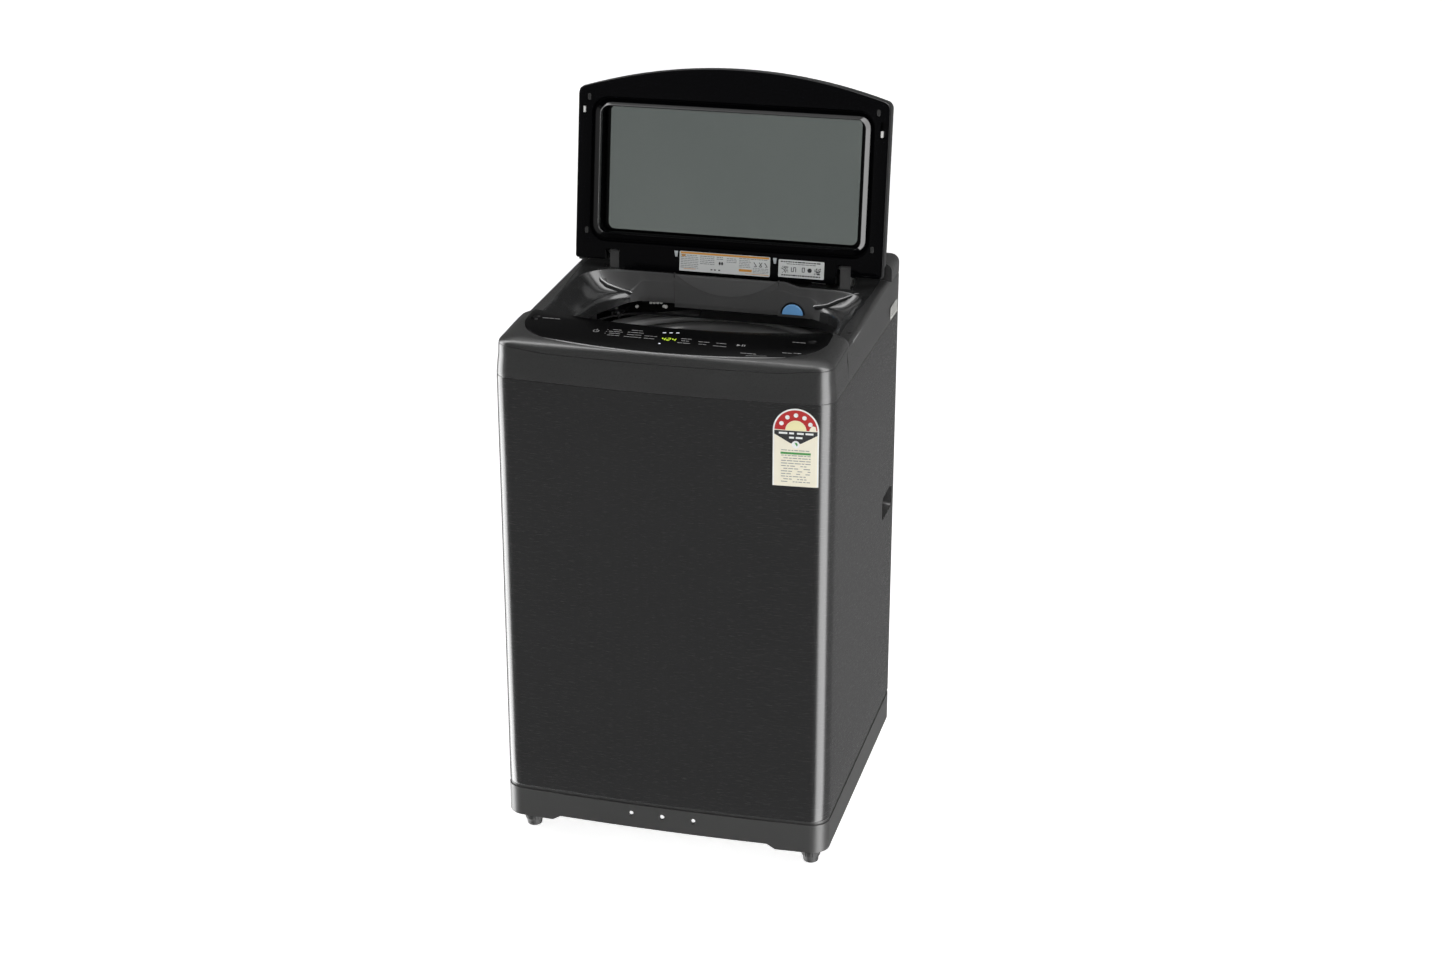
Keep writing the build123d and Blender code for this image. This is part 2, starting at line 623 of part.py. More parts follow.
with BuildPart() as lid_inner:
    with BuildSketch(lid_plane.offset(LID_SPLIT)):
        add(lid_outline(0))
    extrude(amount=LID_FACE - LID_SPLIT)
    fillet([e for e in lid_inner.faces().sort_by(Axis.Y)[0].edges()], 2.5)
    with BuildSketch(lid_plane.offset(LID_SPLIT)):
        add(lid_outline(3))
    extrude(amount=LID_FACE - LID_SPLIT - 5, mode=Mode.SUBTRACT)
    with BuildSketch(lid_plane.offset(GLASS_W + 3.2)):
        add(window(3, 14))
    extrude(amount=LID_FACE - GLASS_W - 3.2 - 2)
    with BuildSketch(lid_plane.offset(GLASS_W)):
        add(window(0, 12))
    extrude(amount=60, mode=Mode.SUBTRACT)
    with BuildSketch(lid_plane.offset(LID_FACE - 3)):
        add(window(17, 24))
        add(window(8, 17), mode=Mode.SUBTRACT)
    extrude(amount=6, mode=Mode.SUBTRACT)
    for sx in (-1, 1):
        with BuildSketch(side_plane.offset(sx * (LID_HALF + PAD_HALF) / 2)):
            with BuildLine():
                Polyline((-14, 11.5), (-14, 24.5), (-1, 24.5), close=True)
            make_face()
        extrude(amount=(LID_HALF - PAD_HALF) / 2 + 1, both=True, mode=Mode.SUBTRACT)
    with BuildSketch(lid_plane.offset(LID_BACK - 5)):
        add(notches())
    extrude(amount=60, mode=Mode.SUBTRACT)
    with BuildSketch(lid_plane.offset(LID_SPLIT)):
        with Locations(*[(sx * LOCK_X, (PIVOT_Y - LOCK_Y) / cos(radians(LID_FALL))) for sx in (-1, 1)]):
            Rectangle(8, 17)
    extrude(amount=30, mode=Mode.SUBTRACT)
save(lid_inner.part, "lid_inner_frame")

with BuildPart() as hinge_cover:
    with BuildSketch(side_plane):
        with BuildLine():
            Polyline((-26, 7), (-12.1, 7), (-12.1, 22.5), (17, 22.5), (17, 24.5), (-26, 24.5), close=True)
        make_face()
    extrude(amount=PAD_HALF, both=True)
save(hinge_cover.part, "lid_hinge_cover")

with BuildPart() as lid_labels:
    with BuildSketch(lid_plane.offset(24.5)):
        with Locations((-3, -4)):
            RectangleRounded(169, 36, 2)
        with Locations((139, -4)):
            RectangleRounded(84, 32, 2)
    extrude(amount=0.3)
save(lid_labels.part, "lid_labels")

BUMPERS = [(sx * 266.0, v) for sx in (-1, 1) for v in (40.0, 282.0)]
with BuildPart() as lid_bumpers:
    with BuildSketch(lid_plane.offset(LID_FACE)):
        with Locations(*BUMPERS):
            SlotOverall(12, 6, rotation=90)
    extrude(amount=1.0)
save(lid_bumpers.part, "lid_bumpers")

with BuildPart() as hinge_pins:
    for sx in (-1, 1):
        with Locations((sx * ARM_X, PIVOT_Y, PIVOT_Z)):
            Cylinder(PIN_R, 42, rotation=(0, 90, 0))
save(hinge_pins.part, "hinge_pins")

with BuildPart() as hinge_arms:
    for sx in (-1, 1):
        with Locations((sx * ARM_X, PIVOT_Y, TROUGH_FLOOR)):
            Box(2 * ARM_HALF, 13, PIVOT_Z - TROUGH_FLOOR, align=STANDING)
            Box(2 * ARM_HALF + 8, 26, 4, align=STANDING)
        with Locations((sx * ARM_X, PIVOT_Y, PIVOT_Z)):
            Cylinder(6.5, 2 * ARM_HALF, rotation=(0, 90, 0))
            Cylinder(PIN_R + RUN, 2 * ARM_HALF + 2, rotation=(0, 90, 0), mode=Mode.SUBTRACT)
save(hinge_arms.part, "hinge_arms")

# ---------------------------------------------------------------- dispenser, valves, electrics
HOUSING_FRONT = 151.5
HOUSING_REAR = 262.0
with BuildPart() as drawer_housing:
    with Locations((0, HOUSING_FRONT, DRAWER_LOW - 3)):
        Box(2 * DRAWER_HALF + 2, HOUSING_REAR - HOUSING_FRONT, 39, align=BEHIND)
    with Locations((0, HOUSING_FRONT - 1, DRAWER_LOW - 1)):
        Box(2 * DRAWER_HALF - 4, HOUSING_REAR - HOUSING_FRONT - 1, 35, align=BEHIND, mode=Mode.SUBTRACT)
    with Locations(*[(x, 200, DRAWER_LOW + 34) for x in range(-80, 81, 20)]):
        Box(6, 60, 10, mode=Mode.SUBTRACT)
    with Locations((DRAWER_HALF, 240, 900)):
        Cylinder(7, 12, rotation=(0, 90, 0), mode=Mode.SUBTRACT)
save(drawer_housing.part, "drawer_housing")

with BuildPart() as drawer:
    with Locations((0, 141.5, DRAWER_LOW)):
        Box(2 * DRAWER_HALF, 4, DRAWER_HIGH - DRAWER_LOW, align=BEHIND)
    with Locations((0, 145.5, DRAWER_LOW)):
        Box(192, 108, 30, align=BEHIND)
    with Locations((-33, 147.5, DRAWER_LOW + 2)):
        Box(122, 104, 40, align=BEHIND, mode=Mode.SUBTRACT)
    with Locations((61.5, 147.5, DRAWER_LOW + 2)):
        Box(63, 104, 40, align=BEHIND, mode=Mode.SUBTRACT)
    with BuildSketch(Plane.XZ.offset(-142.5)):
        with BuildLine():
            Line((-98, DRAWER_HIGH - 2), (98, DRAWER_HIGH - 2))
            ThreePointArc((98, DRAWER_HIGH - 2), (0, DRAWER_HIGH - 33), (-98, DRAWER_HIGH - 2))
        make_face()
    extrude(amount=2, mode=Mode.SUBTRACT)
save(drawer.part, "detergent_drawer")


with BuildPart() as softener_flap:
    with BuildSketch(Plane.XZ.offset(-FLAP_Y + 0.2)):
        add(half_disc(FLAP_R, FLAP_X, FLAP_Z))
    extrude(amount=3.5)
    fillet([e for e in softener_flap.faces().sort_by(Axis.Y)[0].edges()], 1.2)
save(softener_flap.part, "softener_flap")

with BuildPart() as inlet_valves:
    for x in INLET_X:
        for start, end, radius in ((262, REAR_Y + RUN, INLET_R - 1), (REAR_Y + RUN, REAR_REACH, INLET_R)):
            with BuildSketch(Plane.XZ.offset(-start)):
                with Locations((x, INLET_Z)):
                    Circle(radius)
                    Circle(9, mode=Mode.SUBTRACT)
            extrude(amount=start - end)
        with Locations((x, 242, INLET_Z - 4)):
            Box(34, 40, 30)
        with Locations((x, 240, 900)):
            Cylinder(13, 44, align=STANDING)
    with Locations((DRAWER_HALF + 1, 240, 900)):
        Cylinder(8, INLET_X[1] - DRAWER_HALF - 1, rotation=(0, 90, 0), align=STANDING)
save(inlet_valves.part, "inlet_valves")

with BuildPart() as case:
    with Locations((-180, 231, 926)):
        Box(120, 58, 35, align=STANDING)
        Box(115, 53, 32, align=STANDING, mode=Mode.SUBTRACT)
save(case.part, "main_board_case")
with BuildPart() as lid_lock:
    with Locations((275.5, LOCK_Y, 896)):
        Box(31, 62, 35.1, align=STANDING)
    with Locations((LOCK_X, LOCK_Y, 902)):
        Box(6, 11, 40, align=STANDING, mode=Mode.SUBTRACT)
    extrude(above_deck(-DECK_T), amount=400, both=True, mode=Mode.SUBTRACT)
    add(deck.part, mode=Mode.SUBTRACT)
save(lid_lock.part, "lid_lock")
with BuildPart() as lock_bolt:
    with Locations((LOCK_X, LOCK_Y, 903)):
        Box(5.8, 10.8, 30, align=STANDING)
save(lock_bolt.part, "lock_bolt")

with BuildPart() as spigot:
    with BuildSketch(Plane.XZ.offset(-REAR_Y)):
        with Locations((DRAIN_X, OUTLET_Z)):
            Circle(18)
            Circle(8.5, mode=Mode.SUBTRACT)
    extrude(amount=-2.5)
    for reach, radius in ((REAR_REACH - REAR_Y, 12.0), (-16, 9.9)):
        with BuildSketch(Plane.XZ.offset(-REAR_Y)):
            with Locations((DRAIN_X, OUTLET_Z)):
                Circle(radius)
                Circle(8.5, mode=Mode.SUBTRACT)
        extrude(amount=-reach)
save(spigot.part, "drain_spigot")
with BuildPart() as gland:
    for start, reach, radius in ((0, 4, 14.0), (4, 9, 10.5), (-12, 12, 9.9)):
        with BuildSketch(Plane.XZ.offset(-REAR_Y - start)):
            with Locations((GLAND_X, OUTLET_Z)):
                Circle(radius)
                Circle(4, mode=Mode.SUBTRACT)
        extrude(amount=-reach)
save(gland.part, "cord_gland")

LABEL_X = 234.0
ARC_R = (HALF_W ** 2 + (BULGE_TOP - 1) ** 2) / (2 * (BULGE_TOP - 1))
label_y = FRONT_Y - BULGE_TOP + 1 + ARC_R - (ARC_R ** 2 - LABEL_X ** 2) ** 0.5
label_turn = LABEL_X / ARC_R
label_plane = Plane(origin=(LABEL_X, label_y - 1.2, 792), x_dir=(cos(label_turn), sin(label_turn), 0),
                    z_dir=(sin(label_turn), -cos(label_turn), 0))
with BuildPart() as stickers:
    with Locations((HALF_W - 0.15, 218, 886)):
        Box(0.3, 64, 23)
    with BuildSketch(label_plane):
        with Locations((0, -16)):
            Rectangle(76, 98)
        with Locations((0, 33)):
            Circle(38)
    extrude(amount=0.4)
save(stickers.part, "stickers")

# ---------------------------------------------------------------- tub and suspension
PUMP_X = -150.0
PUMP_Y = -130.0
SHAFT_R = 8.0
SPIN_R = 15.0
ROD_REACH = (ROD_X ** 2 + ROD_Y ** 2) ** 0.5
RODS = [(sx * ROD_X, sy * ROD_Y) for sx in (-1, 1) for sy in (-1, 1)]
LUG_T = 14.0
SECTORS = 12
TUB_TURN = 28.5
STATOR_TURN = 7.5


def revolved(points):
    """Solid of revolution about the vertical axis from a closed radius and height profile."""
    with BuildPart(mode=Mode.PRIVATE) as ring:
        with BuildSketch(Plane.XZ):
            with BuildLine():
                Polyline(*points, close=True)
            make_face()
        revolve(axis=Axis.Z)
    return ring.part


def sector_planes(start):
    """Upright planes through the axis that part a ring into equal sectors."""
    turns = [radians(start + 360 * k / SECTORS) for k in range(SECTORS // 2)]
    return [Plane(origin=(0, 0, 0), x_dir=(0, 0, 1), z_dir=(sin(a), -cos(a), 0)) for a in turns]


with BuildPart() as tub:
    add(revolved([(24, TUB_BOTTOM), (TUB_R, TUB_BOTTOM), (TUB_R, 828), (TUB_R + 3, 831),
                  (TUB_R + 3, TUB_TOP), (TUB_R - TUB_WALL, TUB_TOP), (TUB_R - TUB_WALL, TUB_BOTTOM + 6),
                  (24, TUB_BOTTOM + 6)]))
    for sx, sy in ((-1, -1), (-1, 1), (1, -1), (1, 1)):
        with BuildSketch(Plane(origin=(0, 0, LUG_Z), x_dir=(sx * ROD_X, sy * ROD_Y, 0), z_dir=(0, 0, 1))):
            with BuildLine():
                Polyline((240, -48), (ROD_REACH, -20), (ROD_REACH + 20, -20), (ROD_REACH + 20, 20),
                         (ROD_REACH, 20), (240, 48), close=True)
            make_face()
        extrude(amount=LUG_T)
    with Locations(*[(x, y, LUG_Z) for x, y in RODS]):
        Cylinder(6, 60, mode=Mode.SUBTRACT)
    with Locations((0, 0, TUB_BOTTOM + 6)):
        Cylinder(TUB_R - TUB_WALL, 500, align=STANDING, mode=Mode.SUBTRACT)
    with Locations((PUMP_X, PUMP_Y, TUB_BOTTOM)):
        Cylinder(14, 40, mode=Mode.SUBTRACT)
    for z in (300.0, 380.0, 520.0, 640.0, 760.0):
        with BuildSketch(Plane.XY.offset(z)):
            Circle(TUB_R + 3)
            Circle(TUB_R - 1, mode=Mode.SUBTRACT)
        extrude(amount=4)
tub_solids = divided(tub.solids(), [Plane.XY.offset(TUB_BOTTOM + 6)] + sector_planes(TUB_TURN))
lugged = [s for s in tub_solids if max(hypot(v.X, v.Y) for v in s.vertices()) > ROD_REACH]
plain = [s for s in tub_solids if s not in lugged]
save(Compound(plain + divided(lugged, [Plane.XY.offset(z) for z in (LUG_Z, LUG_Z + LUG_T)])), "tub")

with BuildPart() as tub_cover:
    add(revolved([(TUB_R - 6, TUB_TOP), (TUB_R + 3, TUB_TOP), (TUB_R + 3, 850), (212, 850), (208, 846),
                  (208, 841), (211, 841), (211, 845), (214, 847), (TUB_R - 6, 847)]))
save(Compound(divided(tub_cover.solids(), sector_planes(TUB_TURN))), "tub_cover")

with BuildPart() as brackets:
    with BuildSketch(Plane.XY.offset(BRACKET_Z)):
        for x, y in RODS:
            with Locations((x + (20 if x > 0 else -20), y + (20 if y > 0 else -20))):
                Rectangle(96, 96)
        add(body_outline(BULGE_BOTTOM + 4, SHEET + 0.05), mode=Mode.INTERSECT)
        with Locations(*RODS):
            Circle(ROD_R + RUN, mode=Mode.SUBTRACT)
        Circle(TUB_R + 14, mode=Mode.SUBTRACT)
    extrude(amount=4)
save(brackets.part, "suspension_brackets")

with BuildPart() as rods:
    for x, y in RODS:
        with Locations((x, y, 318)):
            Cylinder(ROD_R, BRACKET_Z + 5 - 318, align=STANDING)
            Cylinder(8, 12, align=STANDING)
        with Locations((x, y, SEAT_Z - 8)):
            Cylinder(20, 8, align=STANDING)
        with Locations((x, y, BRACKET_Z + 4)):
            Cylinder(9, 8, align=STANDING)
save(rods.part, "suspension_rods")

with BuildPart() as caps:
    for x, y in RODS:
        with Locations((x, y, LUG_Z - 6)):
            Cylinder(20, 6, align=STANDING)
            Cylinder(5.95, LUG_T + 6, align=STANDING)
            Cylinder(ROD_R + RUN, 100, mode=Mode.SUBTRACT)
save(caps.part, "suspension_caps")

COIL_R = 13.0
WIRE_R = 1.8
COIL_TURNS = 7
COIL_LEN = LUG_Z - 6 - SEAT_Z - 2 * WIRE_R - 0.4
with BuildPart() as coil:
    with BuildLine():
        Helix(pitch=COIL_LEN / COIL_TURNS, height=COIL_LEN, radius=COIL_R)
    rise = COIL_LEN / COIL_TURNS / (2 * pi * COIL_R)
    with BuildSketch(Plane(origin=(COIL_R, 0, 0), x_dir=(1, 0, 0), z_dir=(0, 1, rise))):
        Circle(WIRE_R)
    sweep(is_frenet=True)
with BuildPart() as springs:
    with Locations(*[(x, y, SEAT_Z + WIRE_R + 0.2) for x, y in RODS]):
        add(coil.part)
save(springs.part, "suspension_springs")

# ---------------------------------------------------------------- drum and pulsator
HOLE_ROWS = 8
HOLE_COLUMNS = 24
with BuildPart() as drum:
    with BuildSketch(Plane.XY.offset(DRUM_BOTTOM)):
        Circle(DRUM_R)
        Circle(DRUM_R - 1, mode=Mode.SUBTRACT)
    extrude(amount=DRUM_TOP - DRUM_BOTTOM)
    for row in range(HOLE_ROWS):
        turn = 180 / HOLE_COLUMNS * (row % 2)
        with Locations((0, 0, 340 + row * 55)):
            with PolarLocations(0, HOLE_COLUMNS // 2, start_angle=turn, angular_range=180):
                Cylinder(2.5, 2 * DRUM_R + 10, rotation=(0, 90, 0), mode=Mode.SUBTRACT)
save(Compound(divided(drum.solids(), sector_planes(TUB_TURN))), "drum")

with BuildPart() as balancer:
    add(revolved([(214, 792), (231.9, 792), (231.9, 800.1), (236, 803), (236, 828), (232, 833), (219, 833),
                  (214, 827)]))
save(Compound(divided(balancer.solids(), sector_planes(TUB_TURN))), "balancer_ring")

with BuildPart() as drum_base:
    add(revolved([(SPIN_R, DRUM_BOTTOM), (231.9, DRUM_BOTTOM), (231.9, 276), (228, 276), (226, 268),
                  (SPIN_R, 268)]))
    with PolarLocations(180, 12):
        with Locations((0, 0, 265)):
            Cylinder(5, 20, mode=Mode.SUBTRACT)
save(drum_base.part, "drum_base")

with BuildPart() as drum_hub:
    add(revolved([(SPIN_R, 244), (34, 244), (46, 252), (46, DRUM_BOTTOM), (SPIN_R, DRUM_BOTTOM)]))
    with BuildSketch(Plane.XY.offset(252)):
        with PolarLocations(125, 3):
            Rectangle(190, 44)
        Circle(40, mode=Mode.SUBTRACT)
    extrude(amount=DRUM_BOTTOM - 252)
save(drum_hub.part, "drum_hub")

with BuildPart() as spin_shaft:
    add(revolved([(SHAFT_R + RUN, 144), (SPIN_R, 144), (SPIN_R, 268), (SHAFT_R + RUN, 268)]))
save(spin_shaft.part, "spin_shaft")

VANES = 5
with BuildPart() as pulsator:
    add(revolved([(SHAFT_R, 274), (60, 272), (198, 279), (205, 292), (202, 294), (190, 286), (80, 282),
                  (44, 296), (30, 302), (SHAFT_R, 302)]))
    for k in range(VANES):
        turn = 2 * pi * k / VANES
        with BuildSketch(Plane(origin=(0, 0, 280), x_dir=(cos(turn), sin(turn), 0),
                               z_dir=(0, 0, 1))):
            with BuildLine():
                ThreePointArc((30, -14), (110, 4), (188, 24))
                ThreePointArc((188, 24), (192, 34), (184, 38))
                ThreePointArc((184, 38), (104, 30), (30, 14))
                Line((30, 14), (30, -14))
            make_face()
        extrude(amount=22, taper=14)
    with PolarLocations(150, 20):
        with Locations((0, 0, 280)):
            Cylinder(3, 12, mode=Mode.SUBTRACT)
    with Locations((0, 0, 290)):
        Cylinder(SHAFT_R, 60, mode=Mode.SUBTRACT)
save(pulsator.part, "pulsator")
with BuildPart() as pulsator_cap:
    add(revolved([(0, 302), (27, 302), (24, 309), (12, 313), (0, 314)]))
save(pulsator_cap.part, "pulsator_cap")

with BuildPart() as wash_shaft:
    add(revolved([(0, 112), (SHAFT_R, 112), (SHAFT_R, 302), (0, 302)]))
save(wash_shaft.part, "wash_shaft")

with BuildPart() as filter_track:
    with Locations((222, 0, 520)):
        Box(12, 68, 240)
    for sy in (-1, 1):
        with Locations((212, sy * 32, 520)):
            Box(8, 4, 240)
        with Locations((207, sy * 31, 520)):
            Box(2, 6, 240)
save(filter_track.part, "filter_track")
with BuildPart() as lint_filter:
    with Locations((212, 0, 515)):
        Box(7.4, 59.4, 220)
    with Locations((206.5, 0, 515)):
        Box(7, 52, 220)
    with Locations(*[(207, 0, 430 + k * 22) for k in range(8)]):
        Box(30, 40, 9, mode=Mode.SUBTRACT)
save(lint_filter.part, "lint_filter")

# ---------------------------------------------------------------- drive
with BuildPart() as bearing_housing:
    add(revolved([(31, 160), (40, 160), (44, 216), (108, 222), (108, TUB_BOTTOM), (24, TUB_BOTTOM),
                  (24, 226), (31, 226)]))
save(Compound(divided(bearing_housing.solids(), sector_planes(STATOR_TURN))), "bearing_housing")
with BuildPart() as bearings:
    for z in (162.0, 208.0):
        with BuildSketch(Plane.XY.offset(z)):
            Circle(31)
            Circle(SPIN_R + RUN, mode=Mode.SUBTRACT)
        extrude(amount=16)
save(bearings.part, "bearings")
with BuildPart() as seal:
    add(revolved([(SPIN_R + RUN, TUB_BOTTOM), (24, TUB_BOTTOM), (24, TUB_BOTTOM + 7),
                  (SPIN_R + RUN, TUB_BOTTOM + 5)]))
save(seal.part, "shaft_seal")

TEETH = 24
with BuildPart() as stator:
    with BuildSketch(Plane.XY.offset(160)):
        Circle(76)
        Circle(60, mode=Mode.SUBTRACT)
        with PolarLocations(92, TEETH):
            Rectangle(36, 8)
        with PolarLocations(114, TEETH):
            Rectangle(8, 22)
    extrude(amount=30)
    with PolarLocations(68, 6, start_angle=30):
        with Locations((0, 0, 190)):
            Cylinder(5, 28, align=STANDING)
    add(bearing_housing.part, mode=Mode.SUBTRACT)
save(Compound(divided(stator.solids(), sector_planes(STATOR_TURN))), "stator")
with BuildPart() as coils:
    with BuildSketch(Plane.XY.offset(157)):
        with PolarLocations(93.5, TEETH):
            Rectangle(31, 14.5)
    extrude(amount=36)
    with BuildSketch(Plane.XY.offset(160)):
        with PolarLocations(92, TEETH):
            Rectangle(36, 8)
        Circle(76)
    extrude(amount=30, mode=Mode.SUBTRACT)
save(coils.part, "stator_coils")

with BuildPart() as rotor:
    add(revolved([(SHAFT_R, 124), (26, 124), (40, 126), (134, 126), (134, 196), (131, 196), (131, 130),
                  (40, 130), (26, 138), (SHAFT_R, 138)]))
    with BuildSketch(Plane.XY.offset(120)):
        with PolarLocations(88, 10):
            Rectangle(50, 16)
    extrude(amount=14, mode=Mode.SUBTRACT)
rotor_solids = divided(rotor.solids(), [Plane.XY.offset(131)])
rotor_skirt = [s for s in rotor_solids if s.bounding_box().max.Z > 190]
rotor_hub = [s for s in rotor_solids if s not in rotor_skirt]
save(Compound(rotor_hub + divided(rotor_skirt, sector_planes(STATOR_TURN))), "rotor")
MAGNETS = 16
with BuildPart() as magnets:
    with BuildSketch(Plane.XY.offset(154)):
        Circle(130.9)
        Circle(122, mode=Mode.SUBTRACT)
        with PolarLocations(126, MAGNETS):
            Rectangle(20, 2, mode=Mode.SUBTRACT)
    extrude(amount=40)
save(magnets.part, "rotor_magnets")
with BuildPart() as coupling:
    add(revolved([(SPIN_R + RUN, 148), (26, 148), (26, 151), (22, 151), (22, 155.6), (26, 155.6),
                  (26, 158.5), (SPIN_R + RUN, 158.5)]))
save(coupling.part, "clutch_coupling")
with BuildPart() as fork:
    with BuildSketch(Plane.XY.offset(151.1)):
        Circle(36)
        with Locations((43, 0)):
            Rectangle(26, 14)
        Circle(22.1, mode=Mode.SUBTRACT)
        with Locations((-30, 0)):
            Rectangle(60, 90, mode=Mode.SUBTRACT)
    extrude(amount=4.4)
    with Locations((53, 0, 151.1)):
        Box(6, 14, 60, align=STANDING)
save(fork.part, "clutch_fork")
with BuildPart() as actuator:
    with Locations((90, 0, 194)):
        Box(60, 44, 26, align=STANDING)
    add(bearing_housing.part, mode=Mode.SUBTRACT)
    add(stator.part, mode=Mode.SUBTRACT)
    add(coils.part, mode=Mode.SUBTRACT)
    with Locations((0, 0, 100)):
        Cylinder(138, 97, align=STANDING, mode=Mode.SUBTRACT)
save(actuator.part, "clutch_actuator")

# ---------------------------------------------------------------- drain pump
with BuildPart() as pump:
    with Locations((PUMP_X, PUMP_Y, 150)):
        Cylinder(24, 28, align=STANDING)
    with Locations((PUMP_X, PUMP_Y, 176)):
        Cylinder(31, 50, align=STANDING)
        Cylinder(17, TUB_BOTTOM - 176, align=STANDING)
    with Locations((PUMP_X - 20, PUMP_Y, 200)):
        Cylinder(12, 54, rotation=(0, -90, 0), align=STANDING)
        Cylinder(9, 60, rotation=(0, -90, 0), align=STANDING, mode=Mode.SUBTRACT)
    with Locations((PUMP_X, PUMP_Y, 180)):
        Cylinder(27, 42, align=STANDING, mode=Mode.SUBTRACT)
        Cylinder(14, 60, align=STANDING, mode=Mode.SUBTRACT)
    with Locations((PUMP_X, PUMP_Y, 160)):
        Cylinder(3.05, 40, align=STANDING, mode=Mode.SUBTRACT)
save(pump.part, "drain_pump")
with BuildPart() as impeller:
    with Locations((PUMP_X, PUMP_Y, 162)):
        Cylinder(3.0, 30, align=STANDING)
    with Locations((PUMP_X, PUMP_Y, 182)):
        Cylinder(22, 2.5, align=STANDING)
        Cylinder(7, 14, align=STANDING)
        with PolarLocations(13, 6):
            Box(16, 2, 12, align=STANDING)
save(impeller.part, "pump_impeller")
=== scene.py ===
from math import atan2, cos, hypot, pi, radians, sin, sqrt

import bmesh
import bpy
from mathutils import Matrix, Vector


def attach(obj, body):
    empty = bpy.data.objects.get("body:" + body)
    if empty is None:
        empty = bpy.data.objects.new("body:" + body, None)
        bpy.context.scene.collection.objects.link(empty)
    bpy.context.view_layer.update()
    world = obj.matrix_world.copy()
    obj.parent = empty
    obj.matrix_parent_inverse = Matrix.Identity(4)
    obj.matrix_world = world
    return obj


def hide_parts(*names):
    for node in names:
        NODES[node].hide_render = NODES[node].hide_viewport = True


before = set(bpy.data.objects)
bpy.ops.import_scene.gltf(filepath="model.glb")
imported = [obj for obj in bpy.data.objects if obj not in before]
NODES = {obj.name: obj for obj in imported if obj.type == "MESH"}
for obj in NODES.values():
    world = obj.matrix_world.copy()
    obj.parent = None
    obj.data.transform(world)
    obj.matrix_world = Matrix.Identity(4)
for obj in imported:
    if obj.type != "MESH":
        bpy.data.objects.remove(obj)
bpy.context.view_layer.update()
SCENE = bpy.context.scene
MM = 0.001
BEVEL_STEPS = 2


# ------------------------------------------------------------------ camera and light
def make_camera():
    """Camera matched to the photo."""
    az = radians(14.96)
    el = radians(20.09)
    roll = radians(0.04)
    dist = 4.2344
    aim = Vector((0.0315, 0.0, 0.6927))
    fwd = -Vector((sin(az) * cos(el), -cos(az) * cos(el), sin(el)))
    right = Vector((cos(az), sin(az), 0))
    up = right.cross(fwd)
    side = cos(roll) * right + sin(roll) * up
    top = -sin(roll) * right + cos(roll) * up
    data = bpy.data.cameras.new("photo_camera")
    data.sensor_width = 36.0
    data.lens = 59.02
    data.shift_y = -0.03
    data.clip_end = 60
    cam = bpy.data.objects.new("photo_camera", data)
    SCENE.collection.objects.link(cam)
    cam.matrix_world = Matrix.Translation(aim - fwd * dist) @ Matrix((side, top, -fwd)).transposed().to_4x4()
    SCENE.camera = cam


def fill_ramp(ramp, stops):
    """Set the stops of a colour ramp from (place, colour) pairs."""
    while len(ramp.elements) < len(stops):
        ramp.elements.new(0.5)
    for element, (place, tone) in zip(ramp.elements, stops):
        element.position = place
        element.color = (*tone, 1)


def make_world():
    """White surroundings; mirror-like surfaces see a dark front, bright side strips and a dim rear."""
    world = bpy.data.worlds.new("studio")
    world.use_nodes = True
    nt = world.node_tree
    nt.nodes.clear()

    def add(kind, **props):
        node = nt.nodes.new(kind)
        for key, value in props.items():
            setattr(node, key, value)
        return node

    def ramp(source, stops):
        node = add("ShaderNodeValToRGB")
        node.color_ramp.interpolation = "EASE"
        fill_ramp(node.color_ramp, [(place, (value, value, value)) for place, value in stops])
        nt.links.new(source, node.inputs["Fac"])
        return node.outputs["Color"]

    def math(op, a, b=None):
        node = add("ShaderNodeMath", operation=op)
        for socket, value in zip(node.inputs, (a, b)):
            if value is None:
                continue
            if isinstance(value, (int, float)):
                socket.default_value = value
            else:
                nt.links.new(value, socket)
        return node.outputs[0]

    coord = add("ShaderNodeTexCoord")
    parts = add("ShaderNodeSeparateXYZ")
    nt.links.new(coord.outputs["Generated"], parts.inputs[0])
    turn = math("ARCTAN2", parts.outputs["X"], math("MULTIPLY", parts.outputs["Y"], -1.0))
    turn = math("ADD", math("DIVIDE", turn, 2 * pi), 0.5)
    low = ramp(turn, WORLD_LOW)
    high = ramp(turn, WORLD_HIGH)
    rise = math("ADD", math("MULTIPLY", parts.outputs["Z"], 0.5), 0.5)
    blend = ramp(rise, [(0.46, 0.0), (0.56, 1.0)])
    crown = ramp(rise, [(0.82, 0.0), (0.95, 1.0)])
    sky = math("ADD", math("MULTIPLY", low, math("SUBTRACT", 1.0, blend)), math("MULTIPLY", high, blend))
    sky = math("ADD", math("MULTIPLY", sky, WORLD_GAIN), math("MULTIPLY", crown, 1.6))
    path = add("ShaderNodeLightPath")
    seen = math("MAXIMUM", path.outputs["Is Camera Ray"], path.outputs["Is Transmission Ray"])
    soft = math("ADD", math("MULTIPLY", seen, 1.0 - AMBIENT), AMBIENT)
    shiny = path.outputs["Is Glossy Ray"]
    mixed = math("ADD", math("MULTIPLY", sky, shiny), math("MULTIPLY", soft, math("SUBTRACT", 1.0, shiny)))
    back = add("ShaderNodeBackground")
    out = add("ShaderNodeOutputWorld")
    nt.links.new(mixed, back.inputs["Strength"])
    nt.links.new(back.outputs[0], out.inputs["Surface"])
    SCENE.world = world


